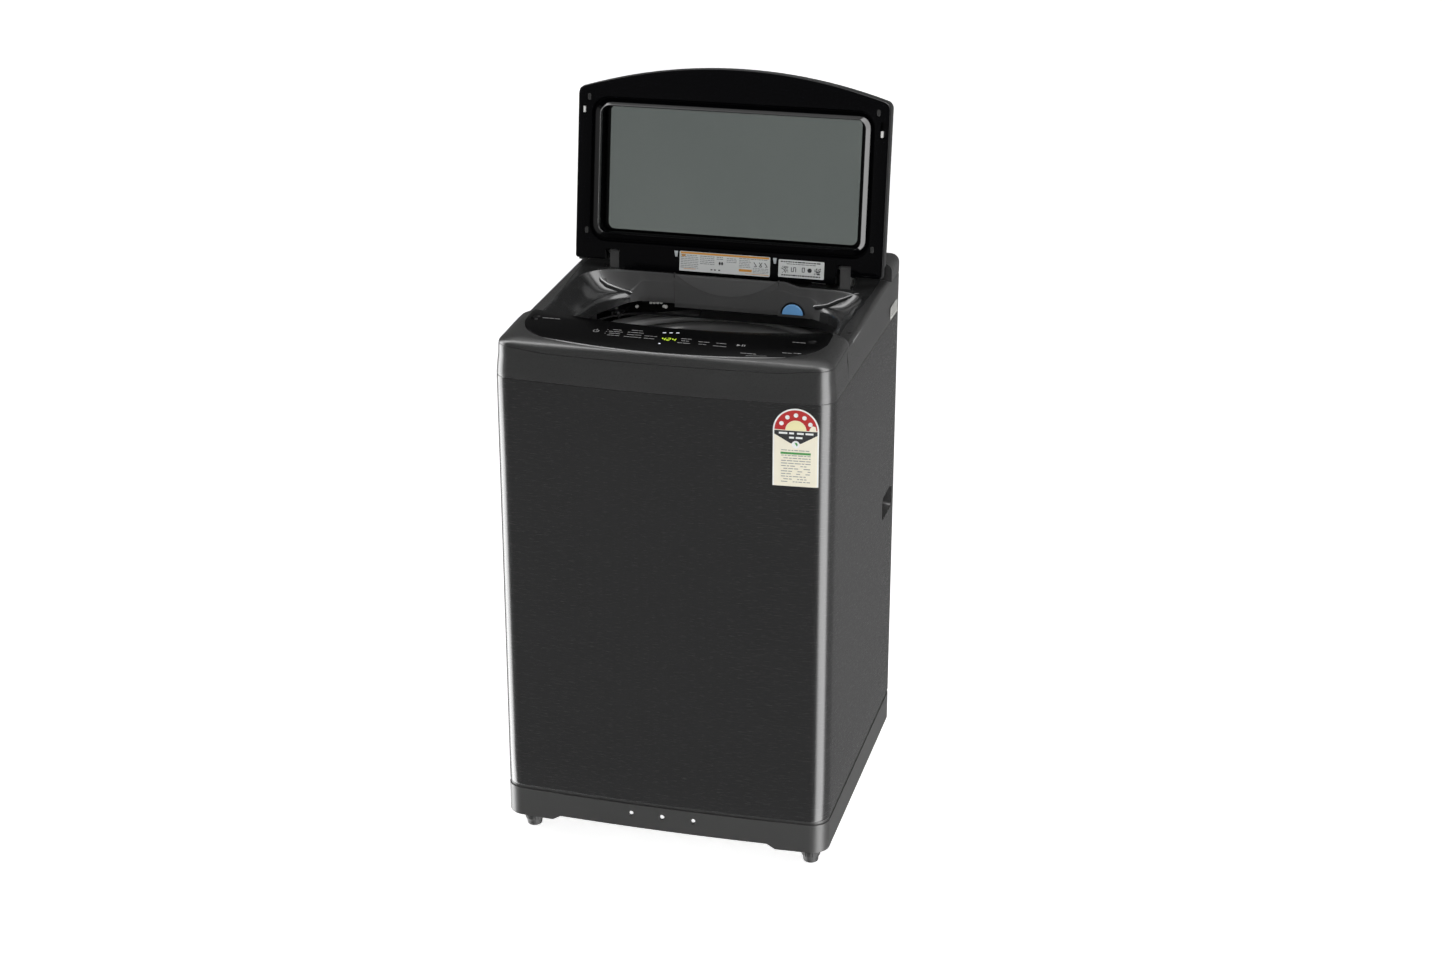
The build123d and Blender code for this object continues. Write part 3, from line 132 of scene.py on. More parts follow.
def area_light(name, place, target, size, power):
    """Soft lamp that mirror-like surfaces don't show."""
    data = bpy.data.lights.new(name, "AREA")
    data.shape = "RECTANGLE"
    data.size = size[0]
    data.size_y = size[1]
    data.energy = power
    lamp = bpy.data.objects.new(name, data)
    SCENE.collection.objects.link(lamp)
    lamp.location = place
    lamp.rotation_euler = (Vector(target) - Vector(place)).to_track_quat("-Z", "Y").to_euler()
    lamp.visible_glossy = False


# stops of (turn, brightness): turn 0 is the rear, 0.25 the left, 0.5 the front, 0.75 the right
WORLD_GAIN = 12.0
AMBIENT = 0.32
WORLD_LOW = [(0.0, 0.02), (0.15, 0.02), (0.21, 0.9), (0.28, 0.9), (0.31, 0.012), (0.59, 0.006),
             (0.635, 0.9), (0.72, 0.9), (0.76, 0.04), (0.90, 0.025), (1.0, 0.02)]
WORLD_HIGH = [(0.0, 0.014), (0.18, 0.014), (0.22, 0.8), (0.28, 0.8), (0.32, 0.012), (0.59, 0.006),
              (0.635, 0.8), (0.72, 0.8), (0.77, 0.05), (1.0, 0.014)]
SCENE.view_settings.view_transform = "Standard"
make_camera()
make_world()
area_light("top_soft", (0.3, -0.6, 3.4), (0, 0, 0.9), (2.6, 2.2), 12)
area_light("front_soft", (0.5, -3.6, 2.2), (0, 0, 0.5), (2.4, 1.6), 30)
area_light("right_soft", (3.2, 0.4, 1.7), (0.3, 0, 0.5), (2.0, 2.4), 55)
area_light("left_soft", (-3.2, 0.2, 1.7), (-0.3, 0, 0.5), (2.0, 2.4), 35)


# ------------------------------------------------------------------ materials
class Look:
    """One Principled material with short calls for its texture nodes."""

    def __init__(self, name):
        self.mat = bpy.data.materials.new(name)
        self.mat.use_nodes = True
        self.nt = self.mat.node_tree
        self.bsdf = self.nt.nodes["Principled BSDF"]

    def add(self, kind, **props):
        node = self.nt.nodes.new(kind)
        for key, value in props.items():
            setattr(node, key, value)
        return node

    def noise(self, scale, detail=3.0, rough=0.5, stretch=None):
        coord = self.add("ShaderNodeTexCoord")
        node = self.add("ShaderNodeTexNoise")
        node.inputs["Scale"].default_value = scale
        node.inputs["Detail"].default_value = detail
        node.inputs["Roughness"].default_value = rough
        source = coord.outputs["Object"]
        if stretch:
            mapping = self.add("ShaderNodeMapping")
            mapping.inputs["Scale"].default_value = stretch
            self.nt.links.new(source, mapping.inputs["Vector"])
            source = mapping.outputs["Vector"]
        self.nt.links.new(source, node.inputs["Vector"])
        return node.outputs["Fac"]

    def tint(self, source, stops):
        node = self.add("ShaderNodeValToRGB")
        fill_ramp(node.color_ramp, stops)
        self.nt.links.new(source, node.inputs["Fac"])
        self.nt.links.new(node.outputs["Color"], self.bsdf.inputs["Base Color"])

    def rough(self, source, low, high):
        node = self.add("ShaderNodeMapRange")
        node.inputs["From Min"].default_value = 0.3
        node.inputs["From Max"].default_value = 0.7
        node.inputs["To Min"].default_value = low
        node.inputs["To Max"].default_value = high
        self.nt.links.new(source, node.inputs["Value"])
        self.nt.links.new(node.outputs["Result"], self.bsdf.inputs["Roughness"])

    def bump(self, source, strength, distance=0.0002):
        node = self.add("ShaderNodeBump")
        node.inputs["Strength"].default_value = strength
        node.inputs["Distance"].default_value = distance
        self.nt.links.new(source, node.inputs["Height"])
        self.nt.links.new(node.outputs["Normal"], self.bsdf.inputs["Normal"])

    def fixed(self, **values):
        for key, value in values.items():
            self.bsdf.inputs[key.replace("_", " ")].default_value = value


def shaded(tone, factor):
    """Colour made lighter or darker."""
    return tuple(min(1.0, c * factor) for c in tone)


def moulded(name, tone, rough=0.4, vary=0.07, grain=900.0, bump=0.05, spread=0.04, **values):
    """Moulded or painted surface: faint colour drift, fine grain in roughness and height."""
    look = Look(name)
    look.tint(look.noise(7.0), [(0.3, shaded(tone, 1 - vary)), (0.7, shaded(tone, 1 + vary))])
    fine = look.noise(grain, 2.0)
    look.rough(fine, rough - spread, rough + spread)
    look.bump(fine, bump)
    look.fixed(**values)
    return look.mat


def printed(name, tone, rough=0.5, vary=0.05):
    """Paper or print: nearly flat, one faint grain."""
    return moulded(name, tone, rough, vary, 900, 0.02)


def streaked(name, tone, rough, stretch, **values):
    """Rolled, drawn or brushed metal with streaks along one direction."""
    look = Look(name)
    streak = look.noise(36.0, 6.0, 0.62, stretch)
    look.tint(streak, [(0.3, shaded(tone, 0.82)), (0.7, tone)])
    look.rough(streak, rough - 0.06, rough + 0.08)
    look.bump(streak, 0.05)
    look.fixed(Metallic=1.0, **values)
    return look.mat


def drawn_sheet(name):
    """Dark coated steel sheet with very fine level hairlines and orange peel."""
    look = Look(name)
    lines = look.noise(60.0, 5.0, 0.6, (1, 1, 26))
    look.tint(lines, [(0.3, (0.0245, 0.0245, 0.0248)), (0.7, (0.0275, 0.0275, 0.0278))])
    look.rough(lines, 0.21, 0.29)
    look.bump(look.noise(420.0, 2.0), 0.035, 0.0003)
    look.fixed(Coat_Weight=0.15, Coat_Roughness=0.12, Metallic=0.1)
    return look.mat


def tinted_glass(name):
    """Smoked clear glass."""
    look = Look(name)
    look.tint(look.noise(4.0), [(0.3, (0.098, 0.110, 0.105)), (0.7, (0.106, 0.118, 0.112))])
    look.rough(look.noise(600.0), 0.0, 0.02)
    look.fixed(Transmission_Weight=1.0, IOR=1.45, Specular_IOR_Level=0.2)
    return look.mat


def lit(name, tone, power):
    """Small lamp or display segment."""
    look = Look(name)
    look.tint(look.noise(500.0), [(0.3, shaded(tone, 0.9)), (0.7, tone)])
    look.fixed(Emission_Color=(*tone, 1), Emission_Strength=power, Roughness=0.3)
    return look.mat


M = {
    "paint": drawn_sheet("graphite_sheet"),
    "cover": moulded("graphite_plastic", (0.031, 0.031, 0.031), 0.3, 0.04, 1300, 0.05, Coat_Weight=0.1,
                     Coat_Roughness=0.1),
    "base": moulded("base_plastic", (0.044, 0.044, 0.0435), 0.42, 0.05, 1200, 0.08),
    "gloss": moulded("lid_black", (0.0011, 0.0011, 0.0016), 0.09, 0.1, 260, 0.008, 0.015,
                     Specular_IOR_Level=0.42),
    "facia": moulded("facia_black", (0.0032, 0.0032, 0.0034), 0.2, 0.08, 800, 0.02, 0.02,
                     Specular_IOR_Level=0.06),
    "deck": moulded("deck_plastic", (0.026, 0.0262, 0.0265), 0.2, 0.06, 700, 0.03, 0.03),
    "drawer": moulded("drawer_plastic", (0.02, 0.02, 0.0205), 0.26, 0.06, 700, 0.03, 0.03),
    "drawer_wall": moulded("drawer_wall_plastic", (0.1, 0.1, 0.1005), 0.32, 0.06, 900, 0.05, 0.03),
    "drawer_face": moulded("drawer_face_plastic", (0.16, 0.16, 0.1605), 0.32, 0.06, 900, 0.05, 0.03),
    # near-black for dark plastic parts, also used as painted shade in the lid lock's slot and below the basin
    # wall
    "dark": moulded("dark_plastic_and_painted_shade", (0.006, 0.006, 0.0062), 0.35, 0.1, 700, 0.05),
    "grey": moulded("hinge_grey", (0.115, 0.115, 0.115), 0.4, 0.05, 900, 0.06),
    "white": moulded("white_plastic", (0.7, 0.7, 0.68), 0.4, 0.03, 900, 0.05),
    "rubber": moulded("black_rubber", (0.009, 0.009, 0.009), 0.62, 0.2, 600, 0.25),
    # faint emission paints a glow into the clear blue flap and filter, which are no lamps
    "blue": moulded("blue_plastic_painted_glow", (0.17, 0.42, 0.78), 0.18, 0.12, 400, 0.03, 0.04,
                    Emission_Color=(0.2, 0.45, 0.8, 1), Emission_Strength=0.12),
    # mid grey lightened from the rings' own dark grey to paint their bright highlight streaks
    "ring": moulded("ring_plastic_painted_sheen", (0.26, 0.26, 0.261), 0.2, 0.06, 600, 0.03, 0.04),
    "board": moulded("circuit_green", (0.01, 0.09, 0.04), 0.35, 0.2, 300, 0.1),
    "paper": printed("label_cream", (0.80, 0.76, 0.62), vary=0.02),
    "paper_white": printed("label_white", (0.78, 0.80, 0.79), 0.45, 0.02),
    "red": printed("label_red", (0.42, 0.012, 0.012)),
    "green": printed("label_green", (0.05, 0.28, 0.06)),
    "orange": printed("label_orange", (0.72, 0.33, 0.05)),
    "ink": printed("label_ink", (0.02, 0.02, 0.022), vary=0.1),
    "print_grey": printed("label_grey_print", (0.24, 0.25, 0.26), vary=0.1),
    "mark": printed("panel_print", (0.4, 0.4, 0.4), 0.45),
    "lamp": lit("white_lamp", (0.85, 0.88, 1.0), 0.9),
    "digit": lit("display_digit", (0.62, 0.85, 0.05), 0.75),
    "copper": moulded("enamelled_copper", (0.42, 0.14, 0.05), 0.3, 0.2, 500, 0.2, Metallic=0.8),
    "magnet": moulded("sintered_magnet", (0.05, 0.05, 0.052), 0.5, 0.15, 800, 0.15, Metallic=0.6),
    "steel": streaked("plated_steel", (0.58, 0.58, 0.57), 0.3, (1, 1, 40)),
    "zinc": streaked("zinc_sheet", (0.5, 0.51, 0.51), 0.4, (20, 1, 1)),
    "stainless": streaked("stainless_drum", (0.6, 0.6, 0.58), 0.26, (1, 1, 90)),
    "alloy": streaked("cast_alloy", (0.6, 0.6, 0.6), 0.46, (2, 2, 2)),
    "glass": tinted_glass("smoked_glass"),
    # light grey that paints the highlight line along the facia's front lip
    "trim": moulded("facia_lip_painted_highlight", (0.20, 0.20, 0.20), 0.3, 0.04, 900, 0.03),
    "lip": moulded("lid_lip_grey", (0.05, 0.05, 0.052), 0.3, 0.04, 900, 0.03),
    "clear": moulded("clear_clip", (0.6, 0.64, 0.66), 0.15, 0.05, 500, 0.03),
    "paper_yellow": printed("label_yellow", (0.79, 0.74, 0.42), vary=0.02),
    "paper_grey": printed("label_silver", (0.42, 0.42, 0.40), 0.35, 0.03),
    "fold": moulded("polished_fold", (0.03, 0.03, 0.031), 0.16, 0.04, 500, 0.02, 0.02, Coat_Weight=0.5,
                    Coat_Roughness=0.08),
    "floor": moulded("floor_white", (0.9, 0.9, 0.9), 0.6, 0.01, 30, 0.0, Emission_Color=(1, 1, 1, 1),
                     Emission_Strength=0.77),
}
NODE_LOOKS = {
    "rubber": ["front_foot_left", "front_foot_right", "rear_feet", "lid_bumpers", "cord_gland",
               "shaft_seal"],
    "steel": ["foot_lock_nuts", "back_panel_screws", "hinge_pins", "suspension_rods", "suspension_springs",
              "spin_shaft", "wash_shaft", "bearings", "stator", "clutch_coupling"],
    "paint": ["cabinet"], "base": ["base"], "cover": ["top_cover", "rear_cover", "grip_cups"],
    "zinc": ["back_panel", "suspension_brackets", "rotor"], "facia": ["panel_facia"],
    "board": ["display_board"], "deck": ["deck"], "drawer_wall": ["detergent_drawer"],
    "drawer": ["drawer_housing"],
    "gloss": ["lid_outer_frame", "lid_inner_frame", "lid_hinge_cover"], "glass": ["lid_glass"],
    "paper": ["lid_labels", "stickers"], "blue": ["softener_flap", "lint_filter"],
    "white": ["inlet_valves", "main_board_case", "lock_bolt", "suspension_caps", "tub", "clutch_fork",
              "clutch_actuator", "drain_pump", "pump_impeller"],
    "grey": ["hinge_arms", "lid_lock", "drain_spigot", "drum_base", "pulsator", "pulsator_cap",
             "filter_track"],
    "ring": ["tub_cover", "balancer_ring"], "stainless": ["drum"],
    "alloy": ["drum_hub", "bearing_housing"], "copper": ["stator_coils"], "magnet": ["rotor_magnets"],
}
for look_name, node_names in NODE_LOOKS.items():
    for node_name in node_names:
        NODES[node_name].data.materials.clear()
        NODES[node_name].data.materials.append(M[look_name])


# ------------------------------------------------------------------ mesh helpers (millimetres)
def piece(name, verts, faces, look, body, covers=(), sharp=32, place=None):
    """A mesh object that rides on a body and may stand for CAD nodes."""
    mesh = bpy.data.meshes.new(name)
    mesh.from_pydata([tuple(c * MM for c in v) for v in verts], [], faces)
    bm = bmesh.new()
    bm.from_mesh(mesh)
    bmesh.ops.remove_doubles(bm, verts=bm.verts, dist=2e-6)
    bmesh.ops.recalc_face_normals(bm, faces=bm.faces)
    bm.to_mesh(mesh)
    bm.free()
    if place is not None:
        mesh.transform(place)
    mesh.materials.append(M[look])
    finish_shading(mesh, sharp)
    obj = bpy.data.objects.new(name, mesh)
    SCENE.collection.objects.link(obj)
    if body:
        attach(obj, body)
    if covers:
        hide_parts(*covers)
    return obj


def finish_shading(mesh, sharp):
    """Smooth shading with edges kept sharp above an angle in degrees."""
    mesh.shade_smooth()
    mesh.set_sharp_from_angle(angle=radians(sharp))


def loft(rings, wrap=False, closed=True, cap_first=False, cap_last=False):
    """Vertices and faces of rows of points joined in order."""
    n = len(rings[0])
    verts = [p for ring in rings for p in ring]
    faces = []
    rows = len(rings)
    for i in range(rows if wrap else rows - 1):
        a = i * n
        b = ((i + 1) % rows) * n
        for j in range(n if closed else n - 1):
            k = (j + 1) % n
            faces.append((a + j, a + k, b + k, b + j))
    if cap_first:
        faces.append(tuple(range(n)))
    if cap_last:
        faces.append(tuple(reversed(range((rows - 1) * n, rows * n))))
    return verts, faces


def merge(*parts):
    """Several (verts, faces) as one."""
    verts = []
    faces = []
    for v, f in parts:
        base = len(verts)
        verts += v
        faces += [tuple(i + base for i in face) for face in f]
    return verts, faces


def circle(cx, cy, r, count):
    """Points on a circle."""
    return [(cx + r * cos(2 * pi * k / count), cy + r * sin(2 * pi * k / count)) for k in range(count)]


def turned(profile, count, centre=(0, 0), wrap=True):
    """Solid of revolution about an upright axis from (radius, height) points."""
    return loft([[(x, y, z) for x, y in circle(*centre, r, count)] for r, z in profile], wrap=wrap)


def slab(outline, low, high):
    """Flat sheet from an outline between two heights."""
    return loft([[(x, y, z) for x, y in outline] for z in (low, high)], cap_first=True, cap_last=True)


def corners(cx, cy, w, h):
    """Corners of a rectangle round its middle."""
    return [(cx + w * sx / 2, cy + h * sy / 2) for sx, sy in ((-1, -1), (1, -1), (1, 1), (-1, 1))]


def taken(bm):
    """Vertices and faces of a bmesh, which is then freed."""
    bm.verts.index_update()
    out = ([tuple(v.co) for v in bm.verts], [tuple(v.index for v in f.verts) for f in bm.faces])
    bm.free()
    return out


def block(low, high, r):
    """Box with rounded edges."""
    bm = bmesh.new()
    bmesh.ops.create_cube(bm, size=1.0)
    for v in bm.verts:
        v.co = Vector([(low[i] + high[i]) / 2 + v.co[i] * (high[i] - low[i]) for i in range(3)])
    bmesh.ops.bevel(bm, geom=bm.edges[:], offset=r, segments=BEVEL_STEPS, profile=0.5, affect="EDGES")
    return taken(bm)


def prism(outline, low, high, r=0.0, axis="z"):
    """Outline in a plane pulled along an axis, with its rims rounded."""
    n = len(outline)
    bm = bmesh.new()
    rows = []
    for level in (low, high):
        row = []
        for u, v in outline:
            row.append(bm.verts.new({"z": (u, v, level), "y": (u, level, v), "x": (level, u, v)}[axis]))
        rows.append(row)
    bm.faces.new(rows[0])
    bm.faces.new(list(reversed(rows[1])))
    for j in range(n):
        k = (j + 1) % n
        bm.faces.new((rows[0][j], rows[0][k], rows[1][k], rows[1][j]))
    bmesh.ops.recalc_face_normals(bm, faces=bm.faces)
    if r > 0:
        rims = [e for e in bm.edges if (e.verts[0] in rows[0]) == (e.verts[1] in rows[0])]
        bmesh.ops.bevel(bm, geom=rims, offset=r, segments=BEVEL_STEPS, profile=0.5, affect="EDGES")
    return taken(bm)


def apply_modifiers(obj, sharp):
    """Keep the shape that the modifiers give as the mesh itself."""
    bpy.context.view_layer.update()
    done = bpy.data.meshes.new_from_object(obj.evaluated_get(bpy.context.evaluated_depsgraph_get()))
    obj.modifiers.clear()
    old = obj.data
    obj.data = done
    bpy.data.meshes.remove(old)
    finish_shading(done, sharp)


def cut(obj, cutters, sharp=32):
    """Take one mesh made of closed (verts, faces) parts away from a piece."""
    tool = piece("cutter", *merge(*cutters), "dark", None)
    mod = obj.modifiers.new("cut", "BOOLEAN")
    mod.operation = "DIFFERENCE"
    mod.solver = "EXACT"
    mod.object = tool
    apply_modifiers(obj, sharp)
    bpy.data.objects.remove(tool)


def arc(cx, cy, r, a0, a1, count):
    """Points on an arc, angles in degrees."""
    turns = [radians(a0 + (a1 - a0) * k / count) for k in range(count + 1)]
    return [(cx + r * cos(a), cy + r * sin(a)) for a in turns]


def rounded(cx, cy, w, h, r, seg=6):
    """Rounded rectangle outline."""
    x = w / 2 - r
    y = h / 2 - r
    out = []
    for sx, sy, a in ((1, 1, 0), (-1, 1, 90), (-1, -1, 180), (1, -1, 270)):
        out += arc(cx + sx * x, cy + sy * y, r, a, a + 90, seg)
    return out


# ------------------------------------------------------------------ body shape (matches the CAD outline)
LEAN = radians(7.5)
PIVOT_Y = 167.5
PIVOT_Z = 971.0
LID = Matrix(((1, 0, 0, 0), (0, sin(LEAN), -cos(LEAN), PIVOT_Y * MM),
              (0, cos(LEAN), sin(LEAN), PIVOT_Z * MM), (0, 0, 0, 1)))
HALF = 295.0
FRONT = -287.0
REAR = 278.0
FRONT_R = 35.0
REAR_R = 20.0
BULGE_LOW = 10.0
BULGE_HIGH = 16.0
BASE_TOP = 101.4
SEAM = 871.0
SIDE_Y = (-235.0, -200.0, -170.0, -140.0, -90.0, -30.0, 40.0, 110.0, 160.0, 190.0, 235.0)
ARC_R = 1011.76
ARC_Y = 831.26
TOP_Z = 947.0
DECK_HIGH_Y = 162.5
DECK_SLOPE = 0.04716
PANEL_HIGH_Y = -180.5
PANEL_SLOPE = 0.089


def bulge_at(z):
    """How far the front stands out in the middle at a height."""
    return BULGE_LOW + (BULGE_HIGH - BULGE_LOW) * min(max((z - BASE_TOP) / (SEAM - BASE_TOP), 0.0), 1.0)


def half_path(inset, bulge):
    """Right half of the body outline, from the middle of the front to the middle of the rear."""
    half = HALF - inset
    front = FRONT + inset
    rear = REAR - inset
    big = (half ** 2 + bulge ** 2) / (2 * bulge)
    cy = front - bulge + big
    r = max(FRONT_R - inset, 3.0)
    cx = half - r
    d = big - r
    corner_y = cy - sqrt(d * d - cx * cx)
    tx = cx * big / d
    start = atan2(cy + (corner_y - cy) * big / d - corner_y, tx - cx)
    out = [(tx * k / 20, cy - sqrt(big ** 2 - (tx * k / 20) ** 2)) for k in range(20)]
    out += [(cx + r * cos(start * (1 - k / 12)), corner_y + r * sin(start * (1 - k / 12))) for k in range(13)]
    out += [(half, y) for y in SIDE_Y]
    rr = max(REAR_R - inset, 3.0)
    out += arc(half - rr, rear - rr, rr, 0, 90, 8)
    out += [((half - rr) * (1 - k / 6), rear) for k in range(1, 7)]
    return out


def body_path(inset, z):
    """Closed body outline at a height."""
    right = half_path(inset, bulge_at(z))
    return right + [(-x, y) for x, y in reversed(right[1:-1])]


def panel_arc(x):
    """Rear edge of the control panel in plan."""
    return ARC_Y - sqrt(ARC_R ** 2 - x ** 2)


def smooth(t):
    """Smooth step from 0 to 1."""
    t = min(max(t, 0.0), 1.0)
    return t * t * (3 - 2 * t)


def deck_z(y):
    """Height of the deck's sloping plane."""
    return TOP_Z - (DECK_HIGH_Y - y) * DECK_SLOPE


def panel_z(x, y):
    """Panel surface, falling to the deck at its rear outer ends."""
    u = min(max((abs(x) - 262.0) / 33.0, 0.0), 1.0)
    sag = 17.5 * (1 - sqrt(max(1 - u * u, 0.0))) * smooth((y + 245.0) / 85.0)
    return TOP_Z + (y - PANEL_HIGH_Y) * PANEL_SLOPE - sag


# ------------------------------------------------------------------ cabinet sheet
def make_cabinet():
    """Wrapped steel sheet with its turned-in top edge and its openings."""
    profile = [(0, 103.6), (0, 160), (0, 300), (0, 440), (0, 580), (0, 720), (0, 868.6), (0.3, 869.9),
               (1.1, 870.8), (2.4, SEAM), (14, SEAM), (14, 870), (1, 870), (1, 580), (1, 300), (1, 102.0),
               (0.9, BASE_TOP), (0.3, 102.2)]
    rings = [[(x, y, z) for x, y in body_path(inset, z)] for inset, z in profile]
    shell = piece("cabinet_shell", *loft(rings, wrap=True), "paint", "cabinet", covers=("cabinet",))
    grips = [prism(rounded(199, 517, 88, 46, 12), s * 290 - 8, s * 290 + 8, axis="x") for s in (-1, 1)]
    rear = prism(rounded(0, 475, 420, 622, 12), 268, 290, axis="y")
    holes = [prism(rounded(x, 820, 20, 20, 9.9), 268, 290, axis="y") for x in (-248, 248)]
    cut(shell, grips + [rear] + holes)


# ------------------------------------------------------------------ top cover
def block_path(inset, z):
    """Outline of the front block: body outline in front, bowed edge with rounded ends behind."""
    right = half_path(inset, bulge_at(z))
    front = [p for p in right if p[1] < -160.0]
    half = HALF - inset
    edge = min(inset, 2.0)
    out = front + [(half, -158.0)]
    end_y = panel_arc(half - 9) - edge
    out += [(half - 9 + 9 * cos(radians(a)), end_y - 9 + 9 * sin(radians(a))) for a in (20, 45, 70, 90)]
    out += [((half - 9) * (1 - k / 16), panel_arc((half - 9) * (1 - k / 16)) - edge) for k in range(1, 17)]
    return out + [(-x, y) for x, y in reversed(out[1:-1])]


def reach(outline, cx, cy, dx, dy):
    """Distance from a point to an outline along a direction."""
    best = None
    for (x0, y0), (x1, y1) in zip(outline, outline[1:] + outline[:1]):
        ex = x1 - x0
        ey = y1 - y0
        den = dx * ey - dy * ex
        if abs(den) < 1e-9:
            continue
        t = ((x0 - cx) * ey - (y0 - cy) * ex) / den
        u = ((x0 - cx) * dy - (y0 - cy) * dx) / den
        if t > 1e-6 and -1e-6 <= u <= 1 + 1e-6 and (best is None or t > best):
            best = t
    return best


def parting_z(x, y):
    """Height of the fine parting line round the front block, rising towards the sides."""
    return 920.0 + 6.0 * smooth((abs(x) - 190.0) / 90.0) + 5.0 * smooth((y + 262.0) / 110.0)


CORE_X = 205.0
CORE_Y = -205.0
BLOCK_LEAN = 5.0


def make_cover():
    """Front block: leaning band, fine parting groove and a fillet that runs in to the panel."""
    rings = []
    for inset, z in ((0.9, SEAM), (0.2, SEAM + 0.5), (0, SEAM + 1.6), (0.9, 882), (2.3, 896), (3.7, 908)):
        rings.append([(x, y, z) for x, y in block_path(inset, SEAM)])
    groove = BLOCK_LEAN + 0.9
    for inset, dz in ((BLOCK_LEAN - 0.5, -2.0), (BLOCK_LEAN, -0.8), (groove, -0.35), (groove, 0.15),
                      (BLOCK_LEAN, 0.7)):
        rings.append([(x, y, parting_z(x, y) + dz) for x, y in block_path(inset, SEAM)])
    start = block_path(BLOCK_LEAN, SEAM)
    border = facia_path(-1.1)
    goal = []
    for x, y in start:
        cx = min(max(x, -CORE_X), CORE_X)
        d = hypot(x - cx, y - CORE_Y)
        dx = (x - cx) / d
        dy = (y - CORE_Y) / d
        t = min(reach(border, cx, CORE_Y, dx, dy), d - 0.2)
        goal.append((cx + dx * t, CORE_Y + dy * t))
    for k in range(1, 13):
        a = radians(90 * k / 12)
        f = 1 - cos(a)
        ring = []
        for (x, y), (gx, gy) in zip(start, goal):
            low = parting_z(x, y) + 0.7
            px = x + (gx - x) * f
            py = y + (gy - y) * f
            ring.append((px, py, low + (panel_z(gx, gy) - low) * sin(a)))
        rings.append(ring)
    for shrink_x, shrink_y, drop in ((0.997, 0.99, 1.2), (0.9, 0.7, 3.6)):
        rings.append([(gx * shrink_x, CORE_Y + (gy - CORE_Y) * shrink_y, panel_z(0, gy) - drop)
                      for gx, gy in goal])
    piece("cover_front", *loft(rings, cap_last=True), "cover", "cabinet", covers=("top_cover",), sharp=28)


def shoulder(y):
    """Distance from the side to the crease between shoulder and deck."""
    return 18.0 + 13.0 * smooth((150.0 - y) / 250.0)


def make_skirt():
    """Side walls of the cover with a rounded top edge and a flat shoulder, joined round the rear."""
    r = 8.0
    path = [(HALF, -166.0)] + [p for p in half_path(0, BULGE_HIGH) if p[1] > -160.0]
    parts = []
    for sx in (-1, 1):
        rings = []
        for x, y in path:
            inward = Vector((1.0 if y < 258 else (x - 275) / 20, 0 if y < 258 else (y - 258) / 20))
            if y >= 277.9:
                inward = Vector((0.0, 1.0))
            top = deck_z(min(y, 190.0))
            lean = 4.0 if y < 190 else 4.0 - 4.0 * smooth((y - 190) / 40)
            profile = [(3.0, SEAM), (0.9, SEAM), (0.2, SEAM + 0.6), (0.0, SEAM + 1.6), (lean * 0.5, 898),
                       (lean, top - r)]
            profile += [(lean + r * (1 - cos(radians(a))), top - r * (1 - sin(radians(a))))
                        for a in (15, 30, 45, 60, 75, 90)]
            profile += [(shoulder(y) + 2, top), (shoulder(y) + 2, top - 4), (lean + 3.0, top - r - 3)]
            rings.append([(sx * (x - d * inward.x), y - d * inward.y, z) for d, z in profile])
        parts.append(loft(rings, closed=True, cap_first=True, cap_last=True))
    piece("cover_skirt", *merge(*parts), "cover", "cabinet", sharp=35)


# ------------------------------------------------------------------ control panel
def arc_through(p0, p1, p2, count):
    """Arc from the first of three points through the second to the last."""
    ax, ay = p0
    bx, by = p1
    cx, cy = p2
    a2 = ax * ax + ay * ay
    b2 = bx * bx + by * by
    c2 = cx * cx + cy * cy
    d = 2 * (ax * (by - cy) + bx * (cy - ay) + cx * (ay - by))
    ux = (a2 * (by - cy) + b2 * (cy - ay) + c2 * (ay - by)) / d
    uy = (a2 * (cx - bx) + b2 * (ax - cx) + c2 * (bx - ax)) / d
    r = hypot(ax - ux, ay - uy)
    a0 = atan2(ay - uy, ax - ux)
    a1 = atan2(cy - uy, cx - ux)
    turns = [a0 + (a1 - a0) * k / count for k in range(count + 1)]
    return [(ux + r * cos(a), uy + r * sin(a)) for a in turns]


def facia_path(inset):
    """Outline of the panel: bowed front, round corners, and a rear edge along the panel's arc."""
    side = 264.0 - inset
    front_x = 196 - inset * 0.2
    front_y = -266 + inset
    bend_x = 243 - inset * 0.7
    bend_y = -240 + inset * 0.7
    out = arc_through((-front_x, front_y), (0, -288 + inset), (front_x, front_y), 32)
    out += arc_through((front_x, front_y), (bend_x, bend_y), (side, -196), 12)[1:]
    out += [(side, panel_arc(side) - 12 - inset), (side - 2.5, panel_arc(side) - 4 - inset)]
    across = [side - 9 - (2 * side - 18) * k / 32 for k in range(33)]
    out += [(x, panel_arc(x) - 1.2 - inset) for x in across]
    out += [(-side + 2.5, panel_arc(side) - 4 - inset), (-side, panel_arc(side) - 12 - inset)]
    out += arc_through((-side, -196), (-bend_x, bend_y), (-front_x, front_y), 12)[:-1]
    return out


DIMPLE_R = 17.0


def make_facia():
    """Glossy panel with two shallow round dimples."""
    rings = []
    for inset, lift in ((0.0, -3.4), (0.0, -0.3), (0.25, 0.15), (0.8, 0.4)):
        rings.append([(x, y, panel_z(0, y) + lift) for x, y in facia_path(inset)])
    face = piece("panel_face", *loft(rings, cap_first=True, cap_last=True), "facia", "cabinet",
                 covers=("panel_facia",), sharp=50)
    bowls = []
    for x, y in ((-248.0, -186.0), (238.0, -198.0)):
        high = panel_z(0, y) + 14.5
        ball = [(DIMPLE_R * sin(radians(a)), high - DIMPLE_R * cos(radians(a))) for a in range(8, 173, 8)]
        bowls.append(turned([(0.01, high - DIMPLE_R)] + ball + [(0.01, high + DIMPLE_R)], 40, (x, y)))
    cut(face, bowls, sharp=30)


